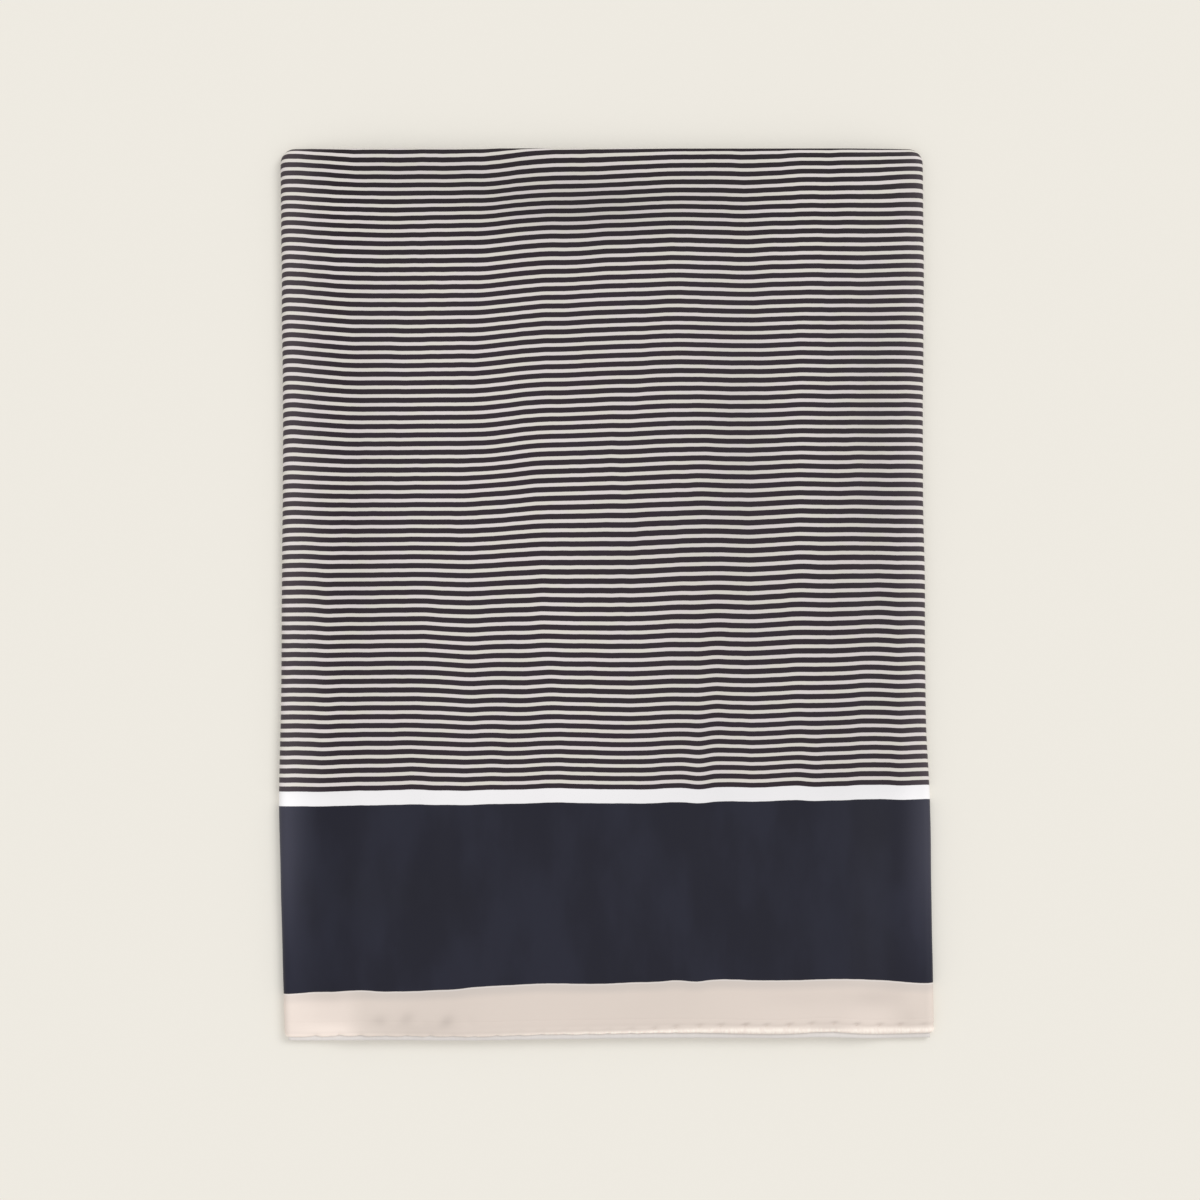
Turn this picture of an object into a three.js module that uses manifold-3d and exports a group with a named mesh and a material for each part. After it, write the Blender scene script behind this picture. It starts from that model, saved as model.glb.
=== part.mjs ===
// A silk square, folded in half and then in three, lying flat with its hems towards -Y.
// Millimetres, +Z up. The origin lies under the middle of the folded pack.
//
// The first fold runs across the far end (+Y). The left third is then turned underneath, and the
// right third under that, so the same face of the cloth shows on top and on the underside. The
// flaps are narrower than the pack: each side fold holds four layers, and the middle six.

import * as THREE from 'three';
import Module from 'manifold-3d';
import { mergeVertices } from 'three/addons/utils/BufferGeometryUtils.js';

const wasm = await Module();
wasm.setup();

// Driving dimensions
const SQUARE_SIDE = 900; // cut silk, hem to hem
const PACK_WIDTH = 330.8; // widest stretch between the two side folds
const PACK_LENGTH = 450; // lower hem that peeks out, to the first fold
const CLOTH_WALL = 1; // one layer, with the air that it holds
const PIECE_GAP = 0.3; // clearance between neighbouring pieces
const SIDE_HEIGHT = 6.2; // four layers, at the side folds
const FLAP_HEIGHT = 2.6; // two layers more, where both flaps lie under the front
const FOLD_REACH = 3.6; // how far a fold bulges past the flat cloth
const CORNER_RADIUS = 8; // corners of the pack at the first fold, in plan
const FRONT_HEM_DIAMETER = 2.6; // rolled hem of the front
const LOWER_HEM_DIAMETER = 2.2; // rolled hems of the layers below, pressed a little

// The two side folds, as distances from the middle, at places along the pack
const SIDE_FOLDS = [
  { y: -225, left: 162.6, right: 165.4 },
  { y: -180, left: 163.9, right: 164.6 },
  { y: -110, left: 165.4, right: 163.4 },
  { y: -60, left: 164.5, right: 161.2 },
  { y: 0, left: 164.1, right: 160.8 },
  { y: 75, left: 163.6, right: 159.8 },
  { y: 150, left: 164.1, right: 160.3 },
  { y: 225, left: 164.9, right: 159.8 },
];

// Outer edges of the front hem and of the hem that peeks out under it, across the pack
const HEM_LINES = [
  { x: -166, front: -223.2, under: -224.9 },
  { x: -145, front: -223.3, under: -225.0 },
  { x: -128, front: -222.7, under: -224.8 },
  { x: -105, front: -222.9, under: -224.7 },
  { x: -75, front: -223.2, under: -224.9 },
  { x: -40, front: -222.4, under: -224.4 },
  { x: 0, front: -221.7, under: -223.9 },
  { x: 42, front: -221.2, under: -223.5 },
  { x: 90, front: -221.8, under: -223.6 },
  { x: 112, front: -220.8, under: -223.2 },
  { x: 132, front: -221.9, under: -223.8 },
  { x: 166, front: -221.2, under: -223.4 },
];

// Soft creases in the top of the pack: the middle of each, how far it runs each way along the
// pack and across it, its height, and how far it leans sideways for each millimetre along
const CREASES = [
  { x: -139, y: -20, along: 95, across: 9, height: -0.6, lean: 0.02 },
  { x: -90, y: -60, along: 85, across: 12, height: 0.55, lean: -0.05 },
  { x: -44, y: 45, along: 120, across: 14, height: -0.5, lean: 0.04 },
  { x: 8, y: -40, along: 80, across: 16, height: 0.35, lean: 0.05 },
  { x: 47, y: -30, along: 110, across: 13, height: -0.5, lean: -0.06 },
  { x: 104, y: 30, along: 130, across: 15, height: 0.45, lean: -0.03 },
  { x: -108, y: 150, along: 50, across: 18, height: 0.4, lean: 0.15 },
  { x: 66, y: 165, along: 45, across: 20, height: -0.35, lean: -0.2 },
  { x: -96, y: -208, along: 13, across: 22, height: -0.7, lean: 0 },
];

// Values that follow from the driving dimensions
const FLAP_WIDTH = (SQUARE_SIDE - PACK_WIDTH) / 2;
const FLAP_EDGE = FLAP_WIDTH - PACK_WIDTH / 2; // free edge of each flap, from the middle
const FIRST_FOLD = PACK_LENGTH / 2;
const FLAT_CORNER = CORNER_RADIUS - FOLD_REACH; // corner radius of the cloth before it turns down
const FOLD_LENGTH = (Math.PI * (FOLD_REACH + SIDE_HEIGHT / 2)) / 2; // cloth that one fold takes
const LAYERS_DEPTH = CLOTH_WALL + PIECE_GAP; // hidden layers below the top of the pack
const FRONT_HEM_RADIUS = FRONT_HEM_DIAMETER / 2;
const LOWER_HEM_RADIUS = LOWER_HEM_DIAMETER / 2;

const LOOP_HEIGHT = 3.15; // two layers, where the front turns over the first fold
const SLOPE_RUN = 27; // how far the top takes to fall from six layers to four
const HEM_SETBACK = FRONT_HEM_DIAMETER + PIECE_GAP; // front cloth, behind its hem's outer edge
const LAYERS_END = -216.3; // hidden layers end here, behind all the hems
const CORNER_LIFT = { start: 8, run: 10 }; // where the first fold's lower edge climbs, from a side
const UNDER_SLOT = { width: 3.6, height: 2.55 }; // room beside the second flap's free edge

// Hems of the lower layers
const UNDER_HEM_DEPTH = 3.6; // middle of the hem that peeks out, below the flat top
const UNDER_HEM_INSET = 6.5; // its ends, in from the side folds
const FLAP_HEM_INSET = FOLD_REACH + 3; // a flap hem's end at its own side fold
const FLAP_HEM_SETBACK = 3.4; // flap hems, behind the hem that peeks out
const SECOND_HEM_SHIFT = 2; // the second flap's hem, further back under the first one
const HEM_NESTLE = 0.3; // how far the first flap's hem sinks in beside the second one

// Folds of the two flaps at the far end of the pack
const LOOP_INSET = 15; // a loop's end at its own side fold
const LOOP_TUCK = 9; // length over which a loop sinks into the layers at either end
const LOOP_DEPTH = 1.2; // how far back a loop's end sinks, as a share of its reach
const LOOP_REACH = { first: 3.1, second: 2.8 };
const LOOP_LIFT = 0.15; // the first flap's loop, above the second one

// Mesh density
const FOLD_STEPS = 6; // facets round a fold
const CELLS = { across: 26, along: 28 }; // flat cloth, the front and the layers alike
const HEM_SIDES = 8;
const LOOP_SIDES = 10;
const STEPS_ACROSS = { underHem: 40, flapHem: 32, loop: 30 };

const { lerp, smoothstep } = THREE.MathUtils;

// A smooth curve through one column of a table, read at a value of its key column
function curveOf(rows, key, column) {
  const places = rows.map((row) => row[key]);
  const values = rows.map((row) => row[column]);
  const curve = new THREE.CubicInterpolant(places, values, 1, new Float64Array(1));
  return (place) => curve.evaluate(place)[0];
}

const leftFold = curveOf(SIDE_FOLDS, 'y', 'left');
const rightFold = curveOf(SIDE_FOLDS, 'y', 'right');
const frontHemLine = curveOf(HEM_LINES, 'x', 'front');
const underHemLine = curveOf(HEM_LINES, 'x', 'under');

// 1 where a flap lies under the front, falling to 0 past its free edge
function leftCover(x) {
  return smoothstep(x, -FLAP_EDGE - UNDER_SLOT.width - SLOPE_RUN, -FLAP_EDGE - UNDER_SLOT.width);
}

function rightCover(x) {
  return 1 - smoothstep(x, FLAP_EDGE, FLAP_EDGE + SLOPE_RUN);
}

function creaseHeight(x, y) {
  let height = 0;
  for (const crease of CREASES) {
    const away = (x - crease.x - crease.lean * (y - crease.y)) / crease.across;
    const along = (y - crease.y) / crease.along;
    height += crease.height * Math.exp(-away * away - along * along);
  }
  return height;
}

// Top of the pack without its creases
function flatTop(x) {
  return SIDE_HEIGHT + FLAP_HEIGHT * leftCover(x) * rightCover(x);
}

function topHeight(x, y) {
  return flatTop(x) + creaseHeight(x, y);
}

// Lower edge of the cloth that turns over a fold: the table at the sides, the next pair of
// layers at the first fold
function foldFoot(x, y) {
  const side = x < 0 ? leftFold(y) : rightFold(y);
  const start = side - CORNER_LIFT.start;
  const lift = 1 - smoothstep(Math.abs(x), start - CORNER_LIFT.run, start);
  return lift * (topHeight(x, y) - LOOP_HEIGHT);
}

// A point of the front cloth, or of what follows it at some depth below. column.across runs from
// -1 to 1 and row.along from 0 to 1 over the flat cloth inside the rounded corners; column.past
// and row.past run on from there, and past the corner radius the cloth turns down over the fold.
// In a corner the two turn into one quarter circle.
function place(column, row, depth, margin) {
  const a = column.past / margin;
  const b = row.past / margin;
  const sideways = column.past * Math.sqrt(1 - (b * b) / 2);
  const endways = row.past * Math.sqrt(1 - (a * a) / 2);
  const outward = Math.hypot(sideways, endways);
  const turn = (Math.PI * Math.max(0, outward - FLAT_CORNER)) / FOLD_LENGTH;
  const reach = Math.min(outward, FLAT_CORNER) + (FOLD_REACH - depth) * Math.sin(turn);
  const scale = outward > 0 ? reach / outward : 0;

  const flatEnd = FIRST_FOLD - CORNER_RADIUS;
  const level = lerp(-FIRST_FOLD, flatEnd, row.along) + endways * scale;
  const left = CORNER_RADIUS - leftFold(level);
  const right = rightFold(level) - CORNER_RADIUS;
  const side = Math.sign(column.across) * sideways * scale;
  const x = lerp(left, right, (column.across + 1) / 2) + side;
  const y = lerp(frontHemLine(x) + HEM_SETBACK, flatEnd, row.along) + endways * scale;

  const top = topHeight(x, y);
  const foot = foldFoot(x, y);
  const z = (top + foot) / 2 + ((top - foot) / 2 - depth) * Math.cos(turn);
  return new THREE.Vector3(x, y, z);
}

// Stops from the flat cloth's edge outwards, as far as the margin
function marginStops(margin) {
  const stops = [FLAT_CORNER / 2, Math.min(FLAT_CORNER, margin)];
  const turned = margin - FLAT_CORNER;
  for (let step = 1; turned > 0 && step <= FOLD_STEPS; step += 1) {
    stops.push(FLAT_CORNER + (turned * step) / FOLD_STEPS);
  }
  return stops;
}

function columnsOf(margin) {
  const cells = CELLS.across;
  const beyond = marginStops(margin);
  const left = beyond.map((past) => ({ across: -1, past })).reverse();
  const right = beyond.map((past) => ({ across: 1, past }));
  const middle = Array.from({ length: cells + 1 }, (_, i) => ({ across: (2 * i) / cells - 1, past: 0 }));
  return [...left, ...middle, ...right];
}

function rowsOf(margin) {
  const cells = CELLS.along;
  const beyond = marginStops(margin).map((past) => ({ along: 1, past }));
  const middle = Array.from({ length: cells + 1 }, (_, j) => ({ along: j / cells, past: 0 }));
  return [...middle, ...beyond];
}

// A closed body from two point grids of the same size, an upper and a lower one
function bodyBetween(upper, lower) {
  const rows = upper.length;
  const columns = upper[0].length;
  const points = [...upper.flat(), ...lower.flat()];
  const at = (sheet, j, i) => (sheet * rows + j) * columns + i;
  const faces = [];
  const quad = (a, b, c, d) => faces.push(a, b, c, a, c, d);
  for (let j = 0; j + 1 < rows; j += 1) {
    for (let i = 0; i + 1 < columns; i += 1) {
      quad(at(0, j, i), at(0, j, i + 1), at(0, j + 1, i + 1), at(0, j + 1, i));
      quad(at(1, j, i), at(1, j + 1, i), at(1, j + 1, i + 1), at(1, j, i + 1));
    }
  }
  for (let i = 0; i + 1 < columns; i += 1) {
    quad(at(1, 0, i), at(1, 0, i + 1), at(0, 0, i + 1), at(0, 0, i));
    quad(at(0, rows - 1, i), at(0, rows - 1, i + 1), at(1, rows - 1, i + 1), at(1, rows - 1, i));
  }
  for (let j = 0; j + 1 < rows; j += 1) {
    quad(at(0, j, 0), at(0, j + 1, 0), at(1, j + 1, 0), at(1, j, 0));
    quad(at(1, j, columns - 1), at(1, j + 1, columns - 1), at(0, j + 1, columns - 1), at(0, j, columns - 1));
  }
  return geometryOf(points, faces);
}

// A closed body through rings of equal size, capped at both ends
function bodyThrough(rings) {
  const sides = rings[0].length;
  const points = rings.flat();
  const faces = [];
  for (let ring = 0; ring + 1 < rings.length; ring += 1) {
    for (let side = 0; side < sides; side += 1) {
      const a = ring * sides + side;
      const b = ring * sides + ((side + 1) % sides);
      faces.push(a, b, b + sides, a, b + sides, a + sides);
    }
  }
  const last = (rings.length - 1) * sides;
  for (let side = 1; side + 1 < sides; side += 1) {
    faces.push(0, side + 1, side);
    faces.push(last, last + side, last + side + 1);
  }
  return geometryOf(points, faces);
}

function geometryOf(points, faces) {
  const geometry = new THREE.BufferGeometry().setFromPoints(points);
  geometry.setIndex(faces);
  return geometry;
}

// A rolled edge along a path: an oval ring at each point, square to the path. Its width points
// away from the pack's far end, so the roll stays untwisted where it turns down round a fold.
function rollAlong(path, width, height, sides, away = new THREE.Vector3(0, 1, 0)) {
  const rings = path.map((centre, index) => {
    const before = path[Math.max(index - 1, 0)];
    const after = path[Math.min(index + 1, path.length - 1)];
    const forward = new THREE.Vector3().subVectors(after, before).normalize();
    const level = away.clone().projectOnPlane(forward).normalize();
    const upright = new THREE.Vector3().crossVectors(forward, level);
    return Array.from({ length: sides }, (_, side) => {
      const angle = (2 * Math.PI * side) / sides;
      const point = centre.clone();
      point.addScaledVector(level, (width / 2) * Math.cos(angle));
      point.addScaledVector(upright, (height / 2) * Math.sin(angle));
      return point;
    });
  });
  return bodyThrough(rings);
}

function solidOf(geometry) {
  const bare = geometry.clone();
  bare.deleteAttribute('normal');
  bare.deleteAttribute('uv');
  const merged = mergeVertices(bare);
  const vertProperties = new Float32Array(merged.attributes.position.array);
  const triVerts = new Uint32Array(merged.index.array);
  return new wasm.Manifold(new wasm.Mesh({ numProp: 3, vertProperties, triVerts }));
}

function geometryFrom(solid) {
  const { vertProperties, triVerts } = solid.getMesh();
  const geometry = new THREE.BufferGeometry();
  geometry.setAttribute('position', new THREE.BufferAttribute(vertProperties, 3));
  geometry.setIndex(new THREE.BufferAttribute(triVerts, 1));
  return geometry;
}

// The front cloth: a wall that covers the top and turns down over the two side folds and the
// first fold, and ends behind its hem
function frontPanel() {
  const margin = FLAT_CORNER + FOLD_LENGTH;
  const columns = columnsOf(margin);
  const rows = rowsOf(margin);
  const sheet = (depth) => rows.map((row) => columns.map((column) => place(column, row, depth, margin)));
  return bodyBetween(sheet(0), sheet(CLOTH_WALL));
}

// The front's hem follows the end of its cloth, and turns down round both side folds with it
function frontHem() {
  const margin = FLAT_CORNER + FOLD_LENGTH;
  const path = columnsOf(margin).map((column) => {
    const centre = place(column, { along: 0, past: 0 }, FRONT_HEM_RADIUS, margin);
    centre.y -= PIECE_GAP + FRONT_HEM_RADIUS;
    return centre;
  });
  return rollAlong(path, FRONT_HEM_DIAMETER, FRONT_HEM_DIAMETER, HEM_SIDES);
}

// Points across the pack at even steps
function acrossPack(from, to, steps, pointAt) {
  return Array.from({ length: steps + 1 }, (_, step) => pointAt(lerp(from, to, step / steps)));
}

// The hem of the layer below the front, nestled under the front hem and a little ahead of it
function underHem() {
  const start = UNDER_HEM_INSET - leftFold(-FIRST_FOLD);
  const end = rightFold(-FIRST_FOLD) - UNDER_HEM_INSET;
  const path = acrossPack(start, end, STEPS_ACROSS.underHem, (x) => {
    const y = underHemLine(x) + LOWER_HEM_RADIUS;
    return new THREE.Vector3(x, y, flatTop(x) - UNDER_HEM_DEPTH);
  });
  return rollAlong(path, LOWER_HEM_DIAMETER, LOWER_HEM_DIAMETER, HEM_SIDES);
}

// The hem of the first flap: on the table at the left fold, over the second flap in the middle
function firstFlapHem() {
  const start = FLAP_HEM_INSET - leftFold(-FIRST_FOLD);
  const path = acrossPack(start, FLAP_EDGE, STEPS_ACROSS.flapHem, (x) => {
    const y = underHemLine(x) + FLAP_HEM_SETBACK;
    const z = LOWER_HEM_RADIUS + (LOWER_HEM_DIAMETER - HEM_NESTLE) * leftCover(x);
    return new THREE.Vector3(x, y, z);
  });
  return rollAlong(path, LOWER_HEM_DIAMETER, LOWER_HEM_DIAMETER, HEM_SIDES);
}

// The hem of the second flap lies on the table, set back under the first one
function secondFlapHem() {
  const end = rightFold(-FIRST_FOLD) - FLAP_HEM_INSET;
  const path = acrossPack(-FLAP_EDGE, end, STEPS_ACROSS.flapHem, (x) => {
    const y = underHemLine(x) + FLAP_HEM_SETBACK + SECOND_HEM_SHIFT * rightCover(x);
    return new THREE.Vector3(x, y, LOWER_HEM_RADIUS);
  });
  return rollAlong(path, LOWER_HEM_DIAMETER, LOWER_HEM_DIAMETER, HEM_SIDES);
}

// The hem down the second flap's free side, on the table
function flapSideHem() {
  const x = -FLAP_EDGE - PIECE_GAP - LOWER_HEM_RADIUS;
  const ends = [LAYERS_END, FIRST_FOLD - CORNER_RADIUS];
  const path = ends.map((y) => new THREE.Vector3(x, y, LOWER_HEM_RADIUS));
  const away = new THREE.Vector3(-1, 0, 0);
  return rollAlong(path, LOWER_HEM_DIAMETER, LOWER_HEM_DIAMETER, HEM_SIDES, away);
}

// One flap's fold at the far end of the pack, under the front's: an oval roll that sinks back
// into the layers at both ends
function flapLoop({ from, to, reach, footAt }) {
  const path = acrossPack(from, to, STEPS_ACROSS.loop, (x) => {
    const out = smoothstep(x, from, from + LOOP_TUCK) * (1 - smoothstep(x, to - LOOP_TUCK, to));
    const y = FIRST_FOLD - FOLD_REACH + (out - LOOP_DEPTH) * reach;
    return new THREE.Vector3(x, y, footAt(x) + FLAP_HEIGHT / 2);
  });
  return rollAlong(path, 2 * reach, FLAP_HEIGHT, LOOP_SIDES);
}

// The layers that the front hides: one rounded solid, with both flaps' folds at its far end, and
// open below between the second flap's free edge and the left fold
function foldedLayers() {
  const margin = FLAT_CORNER - PIECE_GAP;
  const columns = columnsOf(margin);
  const rows = rowsOf(margin);
  const top = rows.map((row) => columns.map((column) => {
    const point = place(column, row, LAYERS_DEPTH, margin);
    if (row.along === 0) point.y = LAYERS_END;
    return point;
  }));
  const base = top.map((line) => line.map((point) => new THREE.Vector3(point.x, point.y, 0)));
  const body = solidOf(bodyBetween(top, base));

  const firstLoop = flapLoop({
    from: LOOP_INSET - leftFold(FIRST_FOLD),
    to: FLAP_EDGE,
    reach: LOOP_REACH.first,
    footAt: (x) => (FLAP_HEIGHT + LOOP_LIFT) * leftCover(x),
  });
  const secondLoop = flapLoop({
    from: -FLAP_EDGE,
    to: rightFold(FIRST_FOLD) - LOOP_INSET,
    reach: LOOP_REACH.second,
    footAt: () => 0,
  });

  const edge = -FLAP_EDGE;
  const slot = new THREE.Shape();
  slot.moveTo(edge, -1);
  slot.lineTo(edge, UNDER_SLOT.height);
  slot.lineTo(edge - UNDER_SLOT.width, UNDER_SLOT.height);
  slot.lineTo(edge - UNDER_SLOT.width - SLOPE_RUN, 0);
  slot.lineTo(edge - UNDER_SLOT.width - SLOPE_RUN, -1);
  const cutter = new THREE.ExtrudeGeometry(slot, { depth: PACK_LENGTH, bevelEnabled: false });
  cutter.rotateX(Math.PI / 2);
  cutter.translate(0, FIRST_FOLD, 0);

  const layers = body.subtract(solidOf(cutter)).add(solidOf(firstLoop)).add(solidOf(secondLoop));
  return geometryFrom(layers);
}

function piece(name, geometry, color) {
  geometry.computeVertexNormals();
  const material = new THREE.MeshStandardMaterial({ color, roughness: 0.55, metalness: 0 });
  const mesh = new THREE.Mesh(geometry, material);
  mesh.name = name;
  return mesh;
}

const STRIPED_SILK = '#8a8280';
const BLUSH_SILK = '#dfd1c8';

const scarf = new THREE.Group();
scarf.add(piece('front_panel', frontPanel(), STRIPED_SILK));
scarf.add(piece('front_hem', frontHem(), BLUSH_SILK));
scarf.add(piece('under_hem', underHem(), BLUSH_SILK));
scarf.add(piece('first_flap_hem', firstFlapHem(), BLUSH_SILK));
scarf.add(piece('second_flap_hem', secondFlapHem(), BLUSH_SILK));
scarf.add(piece('flap_side_hem', flapSideHem(), STRIPED_SILK));
scarf.add(piece('folded_layers', foldedLayers(), STRIPED_SILK));

export default scarf;
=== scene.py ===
"""A printed silk square, folded in half and then in three, lying flat on a pale table.

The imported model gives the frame. This script dresses it: the front cloth with its print and
creases, the rolled and whip-stitched hems, and the flaps that are turned underneath.
"""

import logging
import math
from bisect import bisect_right
from collections.abc import Callable, Sequence
from dataclasses import dataclass, field
from enum import Enum
from functools import cached_property
from typing import Union

import bmesh
import bpy
from mathutils import Matrix, Vector, noise


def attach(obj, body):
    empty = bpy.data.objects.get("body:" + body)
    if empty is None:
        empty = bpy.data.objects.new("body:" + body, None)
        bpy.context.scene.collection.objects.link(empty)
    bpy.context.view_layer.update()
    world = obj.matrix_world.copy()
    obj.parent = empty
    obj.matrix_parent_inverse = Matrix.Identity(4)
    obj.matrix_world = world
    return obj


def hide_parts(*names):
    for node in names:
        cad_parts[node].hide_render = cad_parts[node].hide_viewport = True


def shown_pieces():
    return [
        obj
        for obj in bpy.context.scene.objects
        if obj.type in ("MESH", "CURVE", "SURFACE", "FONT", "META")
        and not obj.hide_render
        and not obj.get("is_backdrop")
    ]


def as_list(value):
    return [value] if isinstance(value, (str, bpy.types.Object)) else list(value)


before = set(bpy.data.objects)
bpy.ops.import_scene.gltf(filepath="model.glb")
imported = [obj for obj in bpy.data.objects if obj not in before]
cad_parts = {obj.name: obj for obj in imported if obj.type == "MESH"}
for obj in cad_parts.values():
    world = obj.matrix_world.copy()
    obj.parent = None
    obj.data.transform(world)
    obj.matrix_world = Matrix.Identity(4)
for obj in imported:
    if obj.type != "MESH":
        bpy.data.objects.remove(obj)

log = logging.getLogger("scarf")

MM = 0.001  # metres in a millimetre, which is the unit of every size below
FLOOR = 0.02  # how high the lowest cloth lies above the table

# Attributes of the cloth that its materials read.
CLOTH = "cloth_mm"  # across the flat silk, up its print, and in from its hem
SHEEN = "sheen"  # painted light and shade: how light the silk looks where it lies


class Slot(Enum):
    """The record's material slots."""

    PRINTED = "printed_silk"
    BORDER = "border_silk"


class Flap(Enum):
    """The two thirds that are turned underneath, in the order they were turned."""

    FIRST = "first"
    SECOND = "second"


def mix(low: float, high: float, share: float) -> float:
    """Return the value that lies the given share of the way from low to high."""
    return low + (high - low) * share


def ease(value: float, start: float, end: float) -> float:
    """Return 0 below start and 1 above end, with a smooth rise between them."""
    share = min(max((value - start) / (end - start), 0.0), 1.0)
    return share * share * (3.0 - 2.0 * share)


def hump(distance: float, reach: float) -> float:
    """Return 1 at no distance, falling away softly past the reach."""
    return math.exp(-((distance / reach) ** 2))


def smooth_noise(x: float, y: float, layer: float) -> float:
    """Return smooth noise from -1 to 1, the same at each run. Each layer has its own."""
    return noise.noise(Vector((x, y, layer)))


@dataclass(frozen=True)
class Clouds:
    """Soft random unevenness: its clouds' width and length, and how strong they are."""

    width: float
    length: float
    strength: float
    layer: float

    def at(self, x: float, y: float) -> float:
        """Return the unevenness at a place."""
        return self.strength * smooth_noise(x / self.width, y / self.length, self.layer)


@dataclass(frozen=True)
class SmoothTable:
    """A smooth curve through the rows of a short table."""

    places: tuple[float, ...]
    values: tuple[float, ...]

    @classmethod
    def of(cls, rows: Sequence[object], key: str, column: str) -> "SmoothTable":
        """Make the curve of one column.

        Args:
            rows: The table's rows, sorted by the key column.
            key: The name of the column that the curve is read at.
            column: The name of the column that it gives.

        Returns:
            The curve.
        """
        return cls(
            tuple(getattr(row, key) for row in rows),
            tuple(getattr(row, column) for row in rows),
        )

    @cached_property
    def slopes(self) -> tuple[float, ...]:
        """The curve's slopes, with no bend at either end.

        Returns:
            The slope at each row.
        """
        steps = [
            (self.values[i + 1] - self.values[i]) / (self.places[i + 1] - self.places[i])
            for i in range(len(self.places) - 1)
        ]
        inner = [(steps[i - 1] + steps[i]) / 2 for i in range(1, len(steps))]
        first = 1.5 * steps[0] - 0.5 * inner[0]
        last = 1.5 * steps[-1] - 0.5 * inner[-1]
        return (first, *inner, last)

    def at(self, place: float) -> float:
        """Read the curve.

        Args:
            place: Where it is read. Past either end it stays level.

        Returns:
            Its value there.
        """
        place = min(max(place, self.places[0]), self.places[-1])
        i = min(max(bisect_right(self.places, place), 1), len(self.places) - 1)
        span = self.places[i] - self.places[i - 1]
        share = (place - self.places[i - 1]) / span
        before, after = self.values[i - 1], self.values[i]
        leave, arrive = self.slopes[i - 1] * span, self.slopes[i] * span
        cubic = 2 * before - 2 * after + leave + arrive
        square = -3 * before + 3 * after - 2 * leave - arrive
        return ((cubic * share + square) * share + leave) * share + before


@dataclass(frozen=True)
class SideFold:
    """How far the side folds lie from the middle, at one place along the pack."""

    y: float
    left: float
    right: float


@dataclass(frozen=True)
class HemLine:
    """Outer edges of the front hem and the one below, and how far the front's is rolled under."""

    x: float
    front: float
    under: float
    tucked: float


@dataclass(frozen=True)
class Crease:
    """A soft trough or ridge that runs along the pack, leaning sideways as it goes."""

    x: float
    y: float
    along: float
    across: float
    height: float
    lean: float = 0.0

    def at(self, x: float, y: float) -> float:
        """Return the crease's height at a place."""
        away = x - self.x - self.lean * (y - self.y)
        return self.height * hump(away, self.across) * hump(y - self.y, self.along)


@dataclass(frozen=True)
class Pull:
    """A place where the cloth is pulled up towards the first fold, or down towards the hem."""

    x: float
    y: float
    across: float
    along: float
    rise: float

    def at(self, x: float, y: float) -> float:
        """Return how far the pull moves the cloth at a place."""
        return self.rise * hump(x - self.x, self.across) * hump(y - self.y, self.along)


@dataclass(frozen=True)
class Shade:
    """A soft patch painted lighter or darker: painted shade and sheen, and in places the layers below
    showing through.
    """

    x: float
    y: float
    across: float
    along: float
    light: float
    lean: float = 0.0

    def at(self, x: float, y: float) -> float:
        """Return how much lighter the patch makes a place."""
        away = x - self.x - self.lean * (y - self.y)
        return self.light * hump(away, self.across) * hump(y - self.y, self.along)


@dataclass(frozen=True)
class SilkSheen:
    """All the front's soft patches of painted light and shade."""

    shades: tuple[Shade, ...] = (
        Shade(-58, 203, 55, 12, -0.05),
        Shade(5, 196, 45, 15, -0.1),
        Shade(62, 203, 30, 12, -0.04),
        Shade(-128, 20, 14, 95, -0.06),
        Shade(-88, 80, 16, 85, 0.035, 0.02),
        Shade(-50, -30, 9, 60, -0.03),
        Shade(-14, -10, 20, 70, 0.03),
        Shade(36, -20, 9, 75, -0.03, -0.03),
        Shade(68, 75, 15, 80, -0.05, -0.05),
        Shade(98, 70, 8, 90, 0.03),
        Shade(133, 95, 8, 110, -0.07),
        Shade(120, -75, 42, 22, -0.04),
        Shade(-161, 40, 7, 170, 0.015),
        Shade(158, 60, 6, 160, 0.04),
        Shade(-163, -150, 10, 45, 0.3),
        Shade(156, -150, 9, 45, 0.2),
        Shade(-115, -150, 45, 14, -0.15),
        Shade(-108, -214, 16, 5, -0.035),
        Shade(-80, -214.5, 6, 4, -0.03),
        Shade(151, -214, 6, 5, -0.04),
        Shade(-146, -208, 12, 12, 0.03),
        Shade(122, 40, 26, 170, -0.09),
        Shade(70, 40, 22, 160, -0.05),
        Shade(-147, 60, 7, 200, -0.06),
        Shade(-55, 60, 30, 120, 0.02),
        Shade(-100, 213, 50, 9, -0.08),
        Shade(-20, 190, 110, 12, -0.04),
        Shade(135, -203, 14, 5.5, -0.12),
        Shade(100, -203, 22, 5, -0.04),
        Shade(112, -218, 9, 3, -0.07),
        Shade(-140, -202.5, 14, 4, -0.1),
        Shade(-139, -219.5, 15, 3.6, 0.14),
        Shade(-115, -215, 4, 2.6, -0.1),
        Shade(-101, -214, 3.6, 3, -0.11, 0.4),
        Shade(-81, -215.5, 3.4, 2.8, -0.12, 0.4),
        Shade(-95, -219, 18, 3.5, -0.07),
        Shade(-150, -105, 25, 6, 0.08),
        Shade(150, -105, 25, 6, 0.06),
        Shade(-25, 197, 45, 22, -0.06),
        Shade(140, 20, 8, 160, -0.04),
        Shade(155, 20, 6, 160, 0.03),
        Shade(-45, 20, 24, 160, 0.02),
    )
    clouds: Clouds = Clouds(width=38, length=60, strength=0.02, layer=5.5)

    def at(self, x: float, y: float) -> float:
        """Return how light the silk looks at a place, 1 on average."""
        return 1.0 + self.clouds.at(x, y) + sum(shade.at(x, y) for shade in self.shades)


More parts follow.
